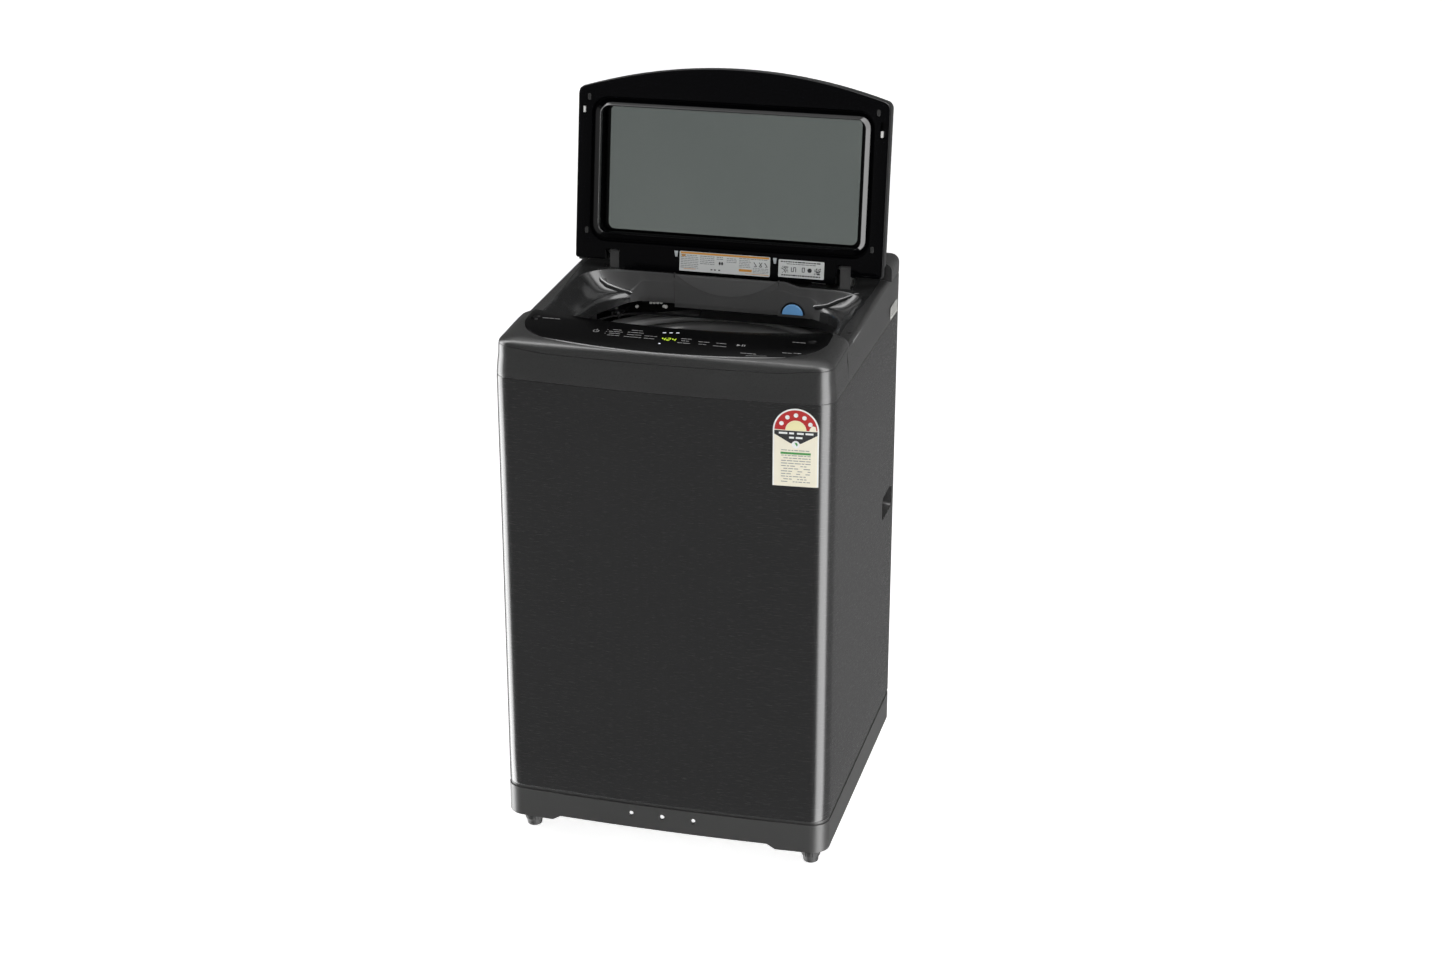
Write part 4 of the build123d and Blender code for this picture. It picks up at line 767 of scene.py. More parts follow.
def inked(outline):
    """Thin print on the panel from an outline."""
    rings = [[(x, y, panel_z(0, y) + lift) for x, y in outline] for lift in (0.42, 0.54)]
    return loft(rings, cap_first=True, cap_last=True)


def on_panel(cx, cy, w, h, skew=0.0):
    """Printed bar on the panel."""
    return inked([(x, y + skew * (x - cx)) for x, y in corners(cx, cy, w, h)])


BAR_H = 1.5
BAR_GAP = 1.1


def bar_row(cx, cy, widths):
    """A run of short bars that stands in for a printed word."""
    x = cx - (sum(widths) + BAR_GAP * (len(widths) - 1)) / 2
    out = []
    for w in widths:
        out.append(on_panel(x + w / 2, cy, w, BAR_H))
        x += w + BAR_GAP
    return out


PANEL_WORDS = [
    (-33, -224, (9, 6, 5)), (-33, -234, (7, 10)), (29, -223, (10, 7)), (29, -232, (7, 5)),
    (29, -241, (9, 12)), (61, -230, (8, 10)), (61, -240, (6, 6)), (91, -230, (4, 12)),
    (91, -242, (10, 12)), (145, -262, (10, 9, 5)), (-222, -183, (11, 8, 10)), (216, -200, (5, 6, 9)),
    (207, -247, (8, 7)), (224, -245, (5, 7)),
]
SEGMENTS = {
    "a": (0, 5, 4.6, 1.3), "b": (2.6, 2.5, 1.3, 4), "c": (2.6, -2.5, 1.3, 4), "d": (0, -5, 4.6, 1.3),
    "e": (-2.6, -2.5, 1.3, 4), "f": (-2.6, 2.5, 1.3, 4), "g": (0, 0, 4.6, 1.3),
}


def make_marks():
    """Printed symbols and bars, lamps, the lit display, and the lip in front whose light grey paints the
    highlight along the facia's edge.
    """
    parts = [inked(arc(-130, -220, 4.2, -240, 60, 20) + arc(-130, -220, 5.4, 60, -240, 20)),
             on_panel(-130, -215, 1.2, 6.5)]
    for row, widths in enumerate(((9, 5), (7, 11, 4), (10, 8), (6, 5, 8))):
        parts += bar_row(-96, -209 - row * 8.0, widths)
    for row, widths in enumerate(((11, 7), (5, 12, 9), (13, 11), (9, 14, 5))):
        parts += bar_row(-62, -205 - row * 9.5, widths)
    parts += [on_panel(-112, y, 1.6, 1.6) for y in (-211, -219, -227)]
    for cx, cy, widths in PANEL_WORDS:
        parts += bar_row(cx, cy, widths)
    parts.append(on_panel(160, -269, 34, 0.9, skew=0.16))
    parts.append(inked([(118, -235.5), (124, -231.5), (118, -227.5)]))
    parts += [on_panel(127.2, -231.2, 1.6, 7), on_panel(131, -231.2, 1.6, 7)]
    piece("panel_marks", *merge(*parts), "mark", "cabinet")
    lamps = [on_panel(x, y, 5.4, 2.0, 0.2) for x, y in ((-14.5, -205), (-3.6, -203), (7.5, -201))]
    lamps.append(on_panel(-9.8, -251, 3.4, 2.6))
    piece("panel_lamps", *merge(*lamps), "lamp", "cabinet")
    digits = []
    for x, bars in ((-8.5, "bcfg"), (0.2, "abdeg"), (9.2, "bcfg")):
        for dx, dy, w, h in (SEGMENTS[bar] for bar in bars):
            digits.append(on_panel(x + dx, -230.5 + dy, w, h))
    piece("panel_digits", *merge(*digits), "digit", "cabinet")
    # lip along the facia's front edge: its light grey and tapering width paint the edge's highlight line
    lip = []
    for k in range(41):
        x = -208 + 416 * k / 40
        y = -290.6 + 22 * (x / 196) ** 2
        w = 1.7 * sqrt(max(1 - (abs(x) / 208.5) ** 6, 0.0)) + 0.05
        lip.append([(x, y - w, panel_z(0, y - w) + 0.1), (x, y - w * 0.3, panel_z(0, y) + 0.9),
                    (x, y + w, panel_z(0, y + w) + 0.5), (x, y + w, panel_z(0, y) - 0.8),
                    (x, y - w, panel_z(0, y) - 0.8)])
    piece("facia_lip_highlight_strip", *loft(lip, cap_first=True, cap_last=True), "trim", "cabinet")


# ------------------------------------------------------------------ basin deck
DECK_MID = -20.0
TURNS = 288
DECK_REAR = 189.6
WALL_Y = 142.0
TROUGH_HALF = 232.0
TROUGH_Y = 149.0
TROUGH_FLOOR = 930.0
DRAWER_EDGE = 98.2


def super_point(a, hx, hy, cy, n):
    """Reach of a superellipse in the direction a from the middle of the deck."""
    c = cos(a)
    s = sin(a)
    low = 0.0
    high = 500.0
    for _ in range(40):
        t = (low + high) / 2
        if abs(t * c / hx) ** n + abs((DECK_MID + t * s - cy) / hy) ** n < 1:
            low = t
        else:
            high = t
    return low


def outer_reach(a):
    """Distance to the outer edge of the deck in the direction a."""
    c = cos(a)
    s = sin(a)
    t = 600.0
    if s > 0:
        t = min(t, (DECK_REAR - DECK_MID) / s)
    for _ in range(8):
        limit = HALF - shoulder(DECK_MID + t * s)
        if abs(c) * t > limit:
            t = limit / abs(c)
    return t


def rim_drop(x, y):
    """The rear rim steps down on the right."""
    return 8.5 * smooth((x - 104.0) / 36.0) * smooth((y - 60.0) / 40.0)


def throat_bottom(x, y):
    """Lower edge of the basin wall, arched over the water inlets."""
    arch = smooth((x + 215.0) / 45.0) * smooth((-40.0 - x) / 50.0)
    return 880.0 + 9.0 * arch * smooth((y - 60.0) / 40.0) + 4.0 * smooth((60.0 - y) / 60.0)


def deck_column(a):
    """Points from the outer edge over the rim, down the slope and the wall of the opening."""
    c = cos(a)
    s = sin(a)
    far = outer_reach(a)
    rim = min(super_point(a, 263, 162, DECK_MID, 7), far - 4)
    throat = min(super_point(a, 229, 172, DECK_MID, 3.6), rim - 1.2)
    if s > 0:
        throat = min(throat, (WALL_Y - DECK_MID - 0.5) / s)
        rim = min(rim, (WALL_Y - DECK_MID + 0.3) / s)
    edge_row = rim + 0.3 * (far - rim)
    if s > 0 and abs((TROUGH_Y - DECK_MID) / s * c) <= TROUGH_HALF + 0.01:
        edge_row = (TROUGH_Y - DECK_MID) / s
    column = []
    for t, drop in ((far, 0.0), (edge_row, 0.0), (rim + 3.2, 0.0), (rim + 1.4, 0.3), (rim + 0.3, 1.1),
                    (rim - 0.3, 2.6)):
        y = DECK_MID + t * s
        column.append((t * c, y, deck_z(y) - drop - (rim_drop(t * c, y) if len(column) > 0 else 0.0)))
    _, y_rim, z_rim = column[-1]
    gap = rim - 0.3 - throat
    low_z = 906.0 + 6.0 * smooth((30.0 - y_rim) / 80.0)
    steep = 1 - smooth((gap - 2.0) / 14.0)
    pocket = smooth((s - 0.3) / 0.25) * (1 - steep)
    power = 1.0 + 1.3 * pocket
    round_r = 6.0 * (1 - steep) + 0.4
    slope_end = throat + round_r
    z_end = low_z * (1 - steep) + (z_rim - 14) * steep
    for k in range(1, 13):
        f = k / 12
        t = rim - 0.3 + (slope_end - rim + 0.3) * f
        t = max(t, throat + 0.1)
        hollow = z_end + (z_rim - z_end) * (1 - f) ** power
        column.append((t * c, DECK_MID + t * s, hollow))
    bottom = throat_bottom(throat * c, DECK_MID + throat * s)
    for k in range(1, 7):
        b = radians(15 * k)
        t = min(throat + round_r * (1 - sin(b)), slope_end)
        column.append((t * c, DECK_MID + t * s, z_end - round_r * 1.5 * (1 - cos(b)) - 0.3 * k))
    last = column[-1][2]
    for f in (0.3, 0.65, 0.96, 1.0):
        t = throat - 1.5 * f + (1.2 if f == 1.0 else 0)
        column.append((t * c, DECK_MID + t * s, last + (bottom - last) * f))
    return [(x, max(y, panel_arc(min(abs(x), 294)) + 0.6), z) for x, y, z in column]


def make_deck():
    """Moulded deck round the basin, with the open trough behind it and the drawer's opening."""
    corner = atan2(DECK_REAR - DECK_MID, HALF - shoulder(DECK_REAR))
    end = atan2(TROUGH_Y - DECK_MID, TROUGH_HALF)
    slot = atan2(WALL_Y - DECK_MID, DRAWER_EDGE)
    special = [corner, pi - corner, end, pi - end, slot, pi - slot]
    angles = sorted({round(2 * pi * k / TURNS, 7) for k in range(TURNS)} | {round(a, 7) for a in special})
    columns = [deck_column(a) for a in angles]
    verts, faces = loft(columns, wrap=True, closed=False)
    n = len(columns[0])
    kept = []
    for face in faces:
        mid = [sum(verts[i][k] for i in face) / len(face) for k in range(3)]
        rows = {i % n for i in face}
        over_trough = (rows == {0, 1} and mid[1] > TROUGH_Y
                       and all(abs(verts[i][0]) <= TROUGH_HALF + 0.1 for i in face if i % n == 1))
        behind_drawer = min(rows) >= 1 and abs(mid[0]) < DRAWER_EDGE and mid[1] > 135
        if not over_trough and not behind_drawer:
            kept.append(face)
    rear_corner = (HALF - shoulder(DECK_REAR), DECK_REAR)
    top = [(TROUGH_HALF, TROUGH_Y), deck_column(end)[0][:2], rear_corner, (TROUGH_HALF, DECK_REAR)]
    front = [column[1] for a, column in zip(angles, columns)
             if DRAWER_EDGE - 1e-3 <= abs(column[1][0]) <= TROUGH_HALF + 0.1 and sin(a) > 0.5]
    patches = []
    for sx in (-1, 1):
        base = [(sx * x, y, deck_z(y)) for x, y in top]
        base[0] = (base[0][0], base[0][1], base[0][2] - rim_drop(base[0][0], TROUGH_Y))
        patches.append((base, [(0, 1, 2, 3)]))
        x = sx * TROUGH_HALF
        wall = [(x, TROUGH_Y, base[0][2]), (x, DECK_REAR, base[3][2]), (x, DECK_REAR, TROUGH_FLOOR),
                (x, TROUGH_Y, TROUGH_FLOOR)]
        patches.append((wall, [(0, 1, 2, 3)]))
    for sx in (-1, 1):
        row = sorted((p for p in front if p[0] * sx > 0), key=lambda p: p[0])
        patches.append(loft([row, [(x, y, TROUGH_FLOOR) for x, y, _ in row]], closed=False))
    floor = [(sx * TROUGH_HALF, y, TROUGH_FLOOR)
             for sx, y in ((-1, TROUGH_Y), (1, TROUGH_Y), (1, DECK_REAR + 6), (-1, DECK_REAR + 6))]
    patches.append((floor, [(0, 1, 2, 3)]))
    deck = piece("deck_top", *merge((verts, kept), *patches), "deck", "cabinet", covers=("deck",), sharp=44)
    solid = deck.modifiers.new("wall", "SOLIDIFY")
    solid.thickness = 0.0018
    solid.offset = -1.0
    apply_modifiers(deck, sharp=44)
    deck.data.materials.append(M["drawer_wall"])
    for face in deck.data.polygons:
        if abs(face.normal.y) > 0.75 and face.center.y > 0.128:
            face.material_index = 1
    # near-black band behind and below the basin wall paints the shade in the gap down to the tub; lowered
    # where the inlets show
    skirt = []
    for grow, z in ((1.5, 893), (1.5, 864), (4.0, 863), (4.0, 893)):
        ring = []
        for x, y, _ in (column[-1] for column in columns):
            t = hypot(x, y - DECK_MID)
            k = (t + grow) / t
            high = min(z, 880) if abs(x) < 114 and y > 100 else z
            high = min(z, 867) if -235 < x < -50 and y > 70 else high
            ring.append((x * k, max(DECK_MID + (y - DECK_MID) * k, panel_arc(x) + 0.7), high))
        skirt.append(ring)
    piece("basin_shade_band", *loft(skirt, wrap=True), "dark", "cabinet")
    # near-black block laid on the shoulder paints the shade inside the lid lock's slot; no hole is cut
    slot_shade_box = block((274.6, -96, 928), (281.4, -84, deck_z(-90) + 0.25), 0.3)
    piece("lock_slot_painted_shade", *slot_shade_box, "dark", "cabinet")


def tube(path, up):
    """Flattened round bar along a path of (x, y, z, half width, half height) points."""
    rings = []
    for k, (x, y, z, w, h) in enumerate(path):
        ahead = Vector(path[min(k + 1, len(path) - 1)][:3]) - Vector(path[max(k - 1, 0)][:3])
        side = ahead.cross(up).normalized()
        rise = side.cross(ahead).normalized()
        middle = Vector((x, y, z)) - rise * h * 0.55
        rings.append([tuple(middle + side * w * cos(2 * pi * j / 18) + rise * h * sin(2 * pi * j / 18))
                      for j in range(18)])
    return loft(rings, cap_first=True, cap_last=True)


def make_ridges():
    """Rounded folds between the rear wall of the basin and its corner pockets."""
    up = Vector((0.1, -0.55, 0.83))
    left = [
        (-250, 134, 944, 2, 2), (-245, 130, 941, 5, 4), (-239, 127, 935, 7, 6), (-231, 126, 927, 8, 7),
        (-220, 127, 920, 8, 7), (-206, 130, 914.5, 7, 6.5), (-193, 132, 909.5, 6, 6),
        (-183, 132.5, 907.5, 6, 6), (-178, 132.5, 906.5, 5, 5), (-175, 132.5, 905.5, 2.4, 2.4),
    ]
    right = [
        (249, 128, 939, 1.5, 1.5), (243, 128.5, 937, 3, 3), (232, 129.5, 932, 4.5, 4),
        (220, 131.5, 926, 5, 4.5), (208, 133, 920.5, 5.5, 5), (192, 134, 911.5, 5.5, 5),
        (180, 134, 908, 6, 6), (172, 134, 907, 6, 6), (167, 134.5, 906.5, 5, 5), (164, 135, 906, 2.4, 2.4),
    ]
    piece("basin_fold_left", *tube(left, up), "fold", "cabinet", sharp=60)
    piece("basin_fold_right", *tube(right, up), "fold", "cabinet", sharp=60)


def make_drawer_front():
    """Front of the detergent drawer, flush with the wall, with its raised bowed face."""
    w = 97.2
    face_y = 141.6
    body = prism([(-w, 881.5), (w, 881.5), (w, 944.6), (-w, 944.6)], face_y, 145.4, 0.8, axis="y")
    piece("drawer_front", *body, "drawer_wall", "drawer")
    half = 93.5
    high = 943.6
    bow = [(2 * half * k / 40 - half, high - 34.0 * (1 - (abs(k - 20) / 20.0) ** 2.1)) for k in range(1, 40)]
    outline = [(-half, high)] + bow + [(half, high)]
    piece("drawer_face", *prism(outline, face_y - 0.7, face_y + 1, 0.35, axis="y"), "drawer_face", "drawer")


# ------------------------------------------------------------------ rear cover
def rear_path(inset):
    """Outline of the cover behind the lid's hinge."""
    right = [p for p in half_path(inset, BULGE_HIGH) if p[1] >= 189.0]
    edge = 190.0 + min(inset, 1.2)
    half = HALF - inset
    out = [(half * k / 8, edge) for k in range(9)]
    out += [(half, y) for y in (196.0, 215.0)]
    out += [p for p in right if p[1] > 220.0]
    return out + [(-x, y) for x, y in reversed(out[1:-1])]


def make_rear_cover():
    """Rounded hump with a recess for the deck's trough and bores for the hoses."""
    r = 14.0
    foot = ((0.8, 945.2), (0.0, 946.0), (0.0, 955.0))
    rings = [[(x, y, z) for x, y in rear_path(inset)] for inset, z in foot]
    for k in range(9):
        a = radians(90 * k / 8)
        rings.append([(x, y, 978 - r * (1 - sin(a))) for x, y in rear_path(r * (1 - cos(a)))])
    rings.append([(x, 190 + (y - 190) * 0.93, 978.0) for x, y in rear_path(24)])
    hump = piece("rear_cover_top", *loft(rings, cap_first=True, cap_last=True), "cover", "cabinet",
                 covers=("rear_cover",), sharp=40)
    recess = prism([(-232, 170), (232, 170), (232, 197), (-232, 197)], 925, 969, 1.5)
    bores = [turned_along_y((x, 961), 13.6, 250, 300) for x in (150, 206)]
    cut(hump, [recess] + bores, sharp=40)


def turned_along_y(centre, r, y0, y1):
    """Round bar along the y axis."""
    return loft([[(x, y, z) for x, z in circle(*centre, r, 36)] for y in (y0, y1)],
                cap_first=True, cap_last=True)


# ------------------------------------------------------------------ lid
def lid_outline(inset):
    """Outline of the lid in its own plane, with the bowed free edge."""
    half = 287.0 - inset
    r = max(14.0 - inset, 4.0)
    foot = max(5.0 - inset, 1.5)
    low = -12 + inset
    out = [(half * (1 - k / 12) - foot * (1 - k / 12), low) for k in range(12)]
    right = [(half - foot + foot * sin(radians(a)), low + foot * (1 - cos(radians(a))))
             for a in (20, 45, 70, 90)]
    right += [(half, v) for v in (20.0, 80.0, 150.0, 220.0, 270.0)]
    bow = [(half * (1 - k / 30), 299 - inset + 45 * (1 - (1 - k / 30) ** 2)) for k in range(31)]
    corner = [(half, 299 - inset - r + r * 0.15), (half - r * 0.06, 299 - inset - r * 0.45),
              (half - r * 0.22, 299 - inset - r * 0.1)]
    shift = r * 0.62
    bow = [(x, v) for x, v in bow if x < half - shift]
    path = list(reversed(out)) + right + corner + bow
    path = [(0.0, low)] + (path[1:] if path[0][0] < 1e-6 else path)
    return path + [(-x, v) for x, v in reversed(path[1:-1])]


def window(grow, radius):
    """Rounded window outline, grown outward."""
    low = 39.0 - grow
    high = 266.0 + grow
    return rounded(0, (low + high) / 2, 2 * (242.5 + grow), high - low, radius, 8)


def make_lid_inner():
    """Inner frame of the lid: rounded rim, channel round the window and sloped reveal."""
    edge = ((0, 8.0), (0, 19.6), (0.5, 21.2), (1.4, 22.2), (3.0, 22.5))
    channel = ((19.5, 22.5), (18.3, 22.0), (17.2, 19.5), (16.4, 14.5), (15.6, 12.9))
    slope = ((15.1, 12.8), (14.4, 13.2), (11.4, 15.3), (8.4, 17.5), (5.4, 19.8), (3.4, 21.5), (2.6, 22.2),
             (2.0, 22.6))
    reveal = ((1.4, 22.4), (0.8, 20.6), (0.2, 15.0), (0.0, 9.6), (0.9, 9.2), (0.9, -1.2))
    loops = [(lid_outline(inset), w) for inset, w in edge]
    for rows, radius in ((channel, 13), (slope, 14), (reveal, 13)):
        loops += [(window(g, radius + g), w) for g, w in rows]
    middle = 150.0
    turns = {round(2 * pi * k / 160, 5) for k in range(160)}
    for outline, _ in (loops[0], loops[5], loops[10], loops[-1]):
        turns |= {round(atan2(v - middle, u) % (2 * pi), 5) for u, v in outline}
    rings = []
    for outline, w in loops:
        ring = []
        for a in sorted(turns):
            t = reach(outline, 0.0, middle, cos(a), sin(a))
            ring.append((t * cos(a), middle + t * sin(a), w))
        rings.append(ring)
    rings.append([(u * 1.012, middle + (v - middle) * 1.02, -1.2) for u, v, _ in rings[-1]])
    rings.append([(u * 0.99, middle + (v - middle) * 0.99, 8.0) for u, v, _ in rings[0]])
    frame_piece = piece("lid_inner_shell", *loft(rings, wrap=True), "gloss", "lid",
                        covers=("lid_inner_frame",), sharp=34)
    arms = [prism([(s * 216 - 13, -40), (s * 216 + 13, -40), (s * 216 + 13, 8), (s * 216 - 13, 8)], -30, 60)
            for s in (-1, 1)]
    spots = [(-275.2, 259.0), (273.4, 244.4)]
    locks = [prism(rounded(-275.2, 259.0, 6.4, 15, 1.5, 3), 12, 40),
             prism(rounded(276.6, 251.5, 12.4, 29, 1.5, 3), 11, 40)]
    cut(frame_piece, arms + locks, sharp=34)
    frame_piece.data.transform(LID)
    pads = [prism(rounded(u, v, 4.6, 11.5, 1.2, 3), 14, 21.6, 0.4) for u, v in spots]
    piece("lid_lock_pads", *merge(*pads), "white", "lid", place=LID)


# ------------------------------------------------------------------ labels
INK_LOW = 24.70
INK_HIGH = 24.80


def flat_bar(cx, cy, w, h):
    """Printed bar on the lid's labels."""
    return slab(corners(cx, cy, w, h), INK_LOW, INK_HIGH)


def wobble(k):
    """Repeatable value from 0 to 1."""
    return (sin(k * 12.9898) * 43758.5453) % 1.0


def print_rows(x0, x1, y_top, rows, pitch, h, seed):
    """Rows of short bars in place of small print."""
    out = []
    for row in range(rows):
        x = x0
        k = seed + row * 17
        while x < x1 - 2:
            w = min(2.0 + 5.0 * wobble(k), x1 - x)
            out.append(flat_bar(x + w / 2, y_top - row * pitch, w, h))
            x += w + 1.1
            k += 1
    return out


def dot_block(cx, cy, size, cells, seed):
    """Square field of scattered dots."""
    out = []
    step = size / cells
    for i in range(cells):
        for j in range(cells):
            if wobble(seed + i * 31 + j * 7) > 0.5:
                x = cx - size / 2 + (i + 0.5) * step
                y = cy - size / 2 + (j + 0.5) * step
                out.append(flat_bar(x, y, step * 0.96, step * 0.96))
    return out


LABEL_ORANGE = ((-3, 11.4, 165, 3.4), (-68, -17.5, 22, 0.8), (36, -13.5, 24, 4.5), (58, -19.2, 44, 1.0),
                (-80, 6.6, 7, 4))
LABEL_PRINT = ((-85, -52, 7, 8, 3.2, 1.1, 3), (-49, -22, 7, 5, 3.4, 1.2, 40), (-18, -4, 7, 2, 3.4, 1.2, 71),
               (24, 78, 8, 1, 3, 1.2, 93), (24, 46, 4.5, 5, 3.0, 1.0, 99), (50, 79, -8.5, 4, 2.6, 0.8, 7),
               (1, 20, 6, 3, 3.2, 1.1, 15))


def make_lid_labels():
    """Two paper labels on the lid, with bars and scattered dots in the places of the photo's print."""
    base = [prism(rounded(x, -4, w, h, 2), 24.45, 24.72) for x, w, h in ((-3, 169, 36), (139, 84, 32))]
    piece("lid_label_sheets", *merge(*base), "paper_white", "lid", covers=("lid_labels",), place=LID)
    piece("lid_label_orange", *merge(*[flat_bar(*row) for row in LABEL_ORANGE]), "orange", "lid", place=LID)
    grey = [bar for row in LABEL_PRINT for bar in print_rows(*row)]
    piece("lid_label_print", *merge(*grey), "print_grey", "lid", place=LID)
    ink = []
    for k, x in enumerate((54.0, 64.0, 74.0)):
        for turn in (-1, 1):
            ends = ((-3.2, 3.5), (-2.2, 4.2), (3.2, -3.5), (2.2, -4.2))
            if turn > 0 or k == 1:
                ink.append(slab([(x + dx, dy * turn - 1.0) for dx, dy in ends], INK_LOW, INK_HIGH))
        ink.append(flat_bar(x, -5.2, 4.5 - k, 1.1))
    for x in (-12.0, -7.5):
        oval = [(x + 1.9 * cos(2 * pi * k / 20), -4 + 3.0 * sin(2 * pi * k / 20)) for k in range(20)]
        ink.append(prism(oval, INK_LOW, INK_HIGH))
    ink += [flat_bar(x, -16.5, 3.4, 2.0) for x in (-27.0, -20.5, -12.5)]
    ink += print_rows(101, 177, 8.4, 1, 3, 2.0, 23) + print_rows(112, 168, 4.6, 1, 3, 1.0, 31)
    ink += dot_block(109, -6, 12, 9, 5) + dot_block(169, -6, 12, 9, 11)
    ink.append(prism(circle(154.5, -5, 4.0, 24), INK_LOW, INK_HIGH))
    ink += [flat_bar(x, y, 1.3, 7.0) for x, y in ((121, -5), (125, -5), (129, -6), (141, -5), (145, -4))]
    ink += [flat_bar(x, y, 4.5, 1.2) for x, y in ((123, -9), (127, -1.5), (143, -8.5), (143, -1))]
    ink += print_rows(103, 175, -15.8, 1, 3, 2.2, 57)
    piece("lid_label_ink", *merge(*ink), "ink", "lid", place=LID)


def skin_y(x, z, lift):
    """Front surface of the cabinet at a place across its width."""
    path = half_path(-lift, bulge_at(z))
    for (x0, y0), (x1, y1) in zip(path, path[1:]):
        if x0 <= x <= x1:
            return y0 + (y1 - y0) * (x - x0) / (x1 - x0)
    return path[0][1]


def wrapped(outline_rows, lift):
    """Patch over the curved front from rows of (z, x_left, x_right)."""
    cols = 14
    front = []
    back = []
    for z, left, right in outline_rows:
        xs = [left + (right - left) * k / cols for k in range(cols + 1)]
        front.append([(x, skin_y(x, z, lift), z) for x in xs])
        back.append([(x, skin_y(x, z, lift - 0.25), z) for x in xs])
    rows = len(front)
    n = cols + 1
    under = rows * n
    verts = [p for row in front + back for p in row]
    faces = []
    for start in range(0, under - n, n):
        for a in range(start, start + cols):
            b = a + under
            faces += [(a, a + 1, a + n + 1, a + n), (b, b + n, b + n + 1, b + 1)]
        faces += [(a, a + n, a + under + n, a + under) for a in (start, start + cols)]
    for start in (0, under - n):
        faces += [(a, a + 1, a + under + 1, a + under) for a in range(start, start + cols)]
    return verts, faces


def wedge(cx, cz, r0, r1, a0, a1, lift, steps=24):
    """Piece of a ring on the curved front."""
    rings = []
    for k in range(steps + 1):
        a = radians(a0 + (a1 - a0) * k / steps)
        ring = []
        for r, up in ((r0, lift), (r1, lift), (r1, lift - 0.2), (r0, lift - 0.2)):
            x = cx + r * cos(a)
            z = cz + r * sin(a)
            ring.append((x, skin_y(x, z, up), z))
        rings.append(ring)
    return loft(rings, cap_first=True, cap_last=True)


def make_front_label():
    """Paper label at the right of the front, laid out like the photo's, with dots and bars for its print."""
    cx = 234.0
    cz = 825.0
    rows = [(727.0 + 98.0 * k / 14, cx - 38, cx + 38) for k in range(15)]
    rows += [(cz + 38 * sin(radians(a)), cx - 38 * cos(radians(a)), cx + 38 * cos(radians(a)))
             for a in range(6, 85, 6)] + [(cz + 37.95, cx - 1.5, cx + 1.5)]
    piece("front_label", *wrapped(rows, 0.40), "paper", "cabinet", covers=("stickers",))
    edge = [wedge(cx, cz, 35.5, 37.9, 0, 180, 0.55)]
    for x in (cx - 36.8, cx + 36.8):
        edge.append(wrapped([(z, x - 1.1, x + 1.1) for z in (727.4, 750.0, 775.0, 800.0, cz)], 0.55))
    piece("front_label_edge", *merge(*edge), "paper_white", "cabinet")
    piece("front_label_red", *wedge(cx, cz, 17.5, 35.4, 1.5, 178.5, 0.55, 36), "red", "cabinet")
    piece("front_label_half", *wedge(cx, cz, 0.6, 16.8, 1, 179, 0.55), "paper_yellow", "cabinet")
    dots = []
    for a in (22, 54, 86, 118, 150):
        x = cx + 26.5 * cos(radians(a + 4))
        z = cz + 26.5 * sin(radians(a + 4))
        dots.append(wedge(x, z, 0.05, 3.7, 0, 360, 0.66, 20))
    piece("front_label_dots", *merge(*dots), "paper_white", "cabinet")
    band = []
    for t in (0, 0.15, 0.3, 0.5, 0.75, 1.0):
        half = 35.6 - 27 * max(t - 0.3, 0) / 0.7
        band.append((cz - 0.6 - 22 * t, cx - half, cx + half))
    piece("front_label_band", *wrapped(band, 0.55), "ink", "cabinet")
    light = []
    for z, spans in ((820.0, ((-28, -14), (-11, -3), (2, 13), (16, 29))), (812.5, ((-11, -3), (0, 11)))):
        light += [wrapped([(z - 1.6, cx + a, cx + b), (z + 1.6, cx + a, cx + b)], 0.62) for a, b in spans]
    light.append(wedge(cx, 800.5, 0.05, 6.6, 0, 360, 0.62, 24))
    piece("front_label_bars", *merge(*light), "paper_white", "cabinet")
    green = [wrapped([(z, cx - 25, cx + 25) for z in (783.2, 786.8)], 0.55),
             wedge(cx, 800.5, 0.05, 3.4, -60, 120, 0.72, 16)]
    piece("front_label_green", *merge(*green), "green", "cabinet")
    small = []
    for k in range(13):
        z = 790.2 - k * 4.6
        if 781.5 < z < 788.0:
            continue
        x = -24.0 + (4 if k % 4 == 3 else 0)
        while x < 22:
            w = 3.0 + 8.0 * wobble(k * 5 + x)
            small.append(wrapped([(zz, cx + x, cx + min(x + w, 25)) for zz in (z - 0.65, z + 0.65)], 0.55))
            x += w + (9.0 if k > 5 and wobble(k + x) > 0.6 else 1.6)
    piece("front_label_print", *merge(*small), "print_grey", "cabinet")


def make_side_label():
    """Silver label on the right side, with bars in place of print."""
    sheet = prism(rounded(218, 886, 64, 23, 2), 294.95, 295.25, axis="x")
    piece("side_label", *sheet, "paper_grey", "cabinet")
    rows = []
    for k in range(4):
        low = 893.2 - k * 4.4
        high = 894.6 - k * 4.4
        y = 190.0
        while y < 244:
            w = 3 + 6 * wobble(k * 13 + y)
            rows.append(prism([(y, low), (y + w, low), (y + w, high), (y, high)], 295.2, 295.33, axis="x"))
            y += w + 1.6
    piece("side_label_print", *merge(*rows), "ink", "cabinet")


# ------------------------------------------------------------------ small parts
SOFT_EDGES = {"lid_outer_frame": 0.6, "lid_hinge_cover": 0.6, "hinge_arms": 0.8, "detergent_drawer": 0.35,
              "grip_cups": 0.5, "lid_bumpers": 0.25}


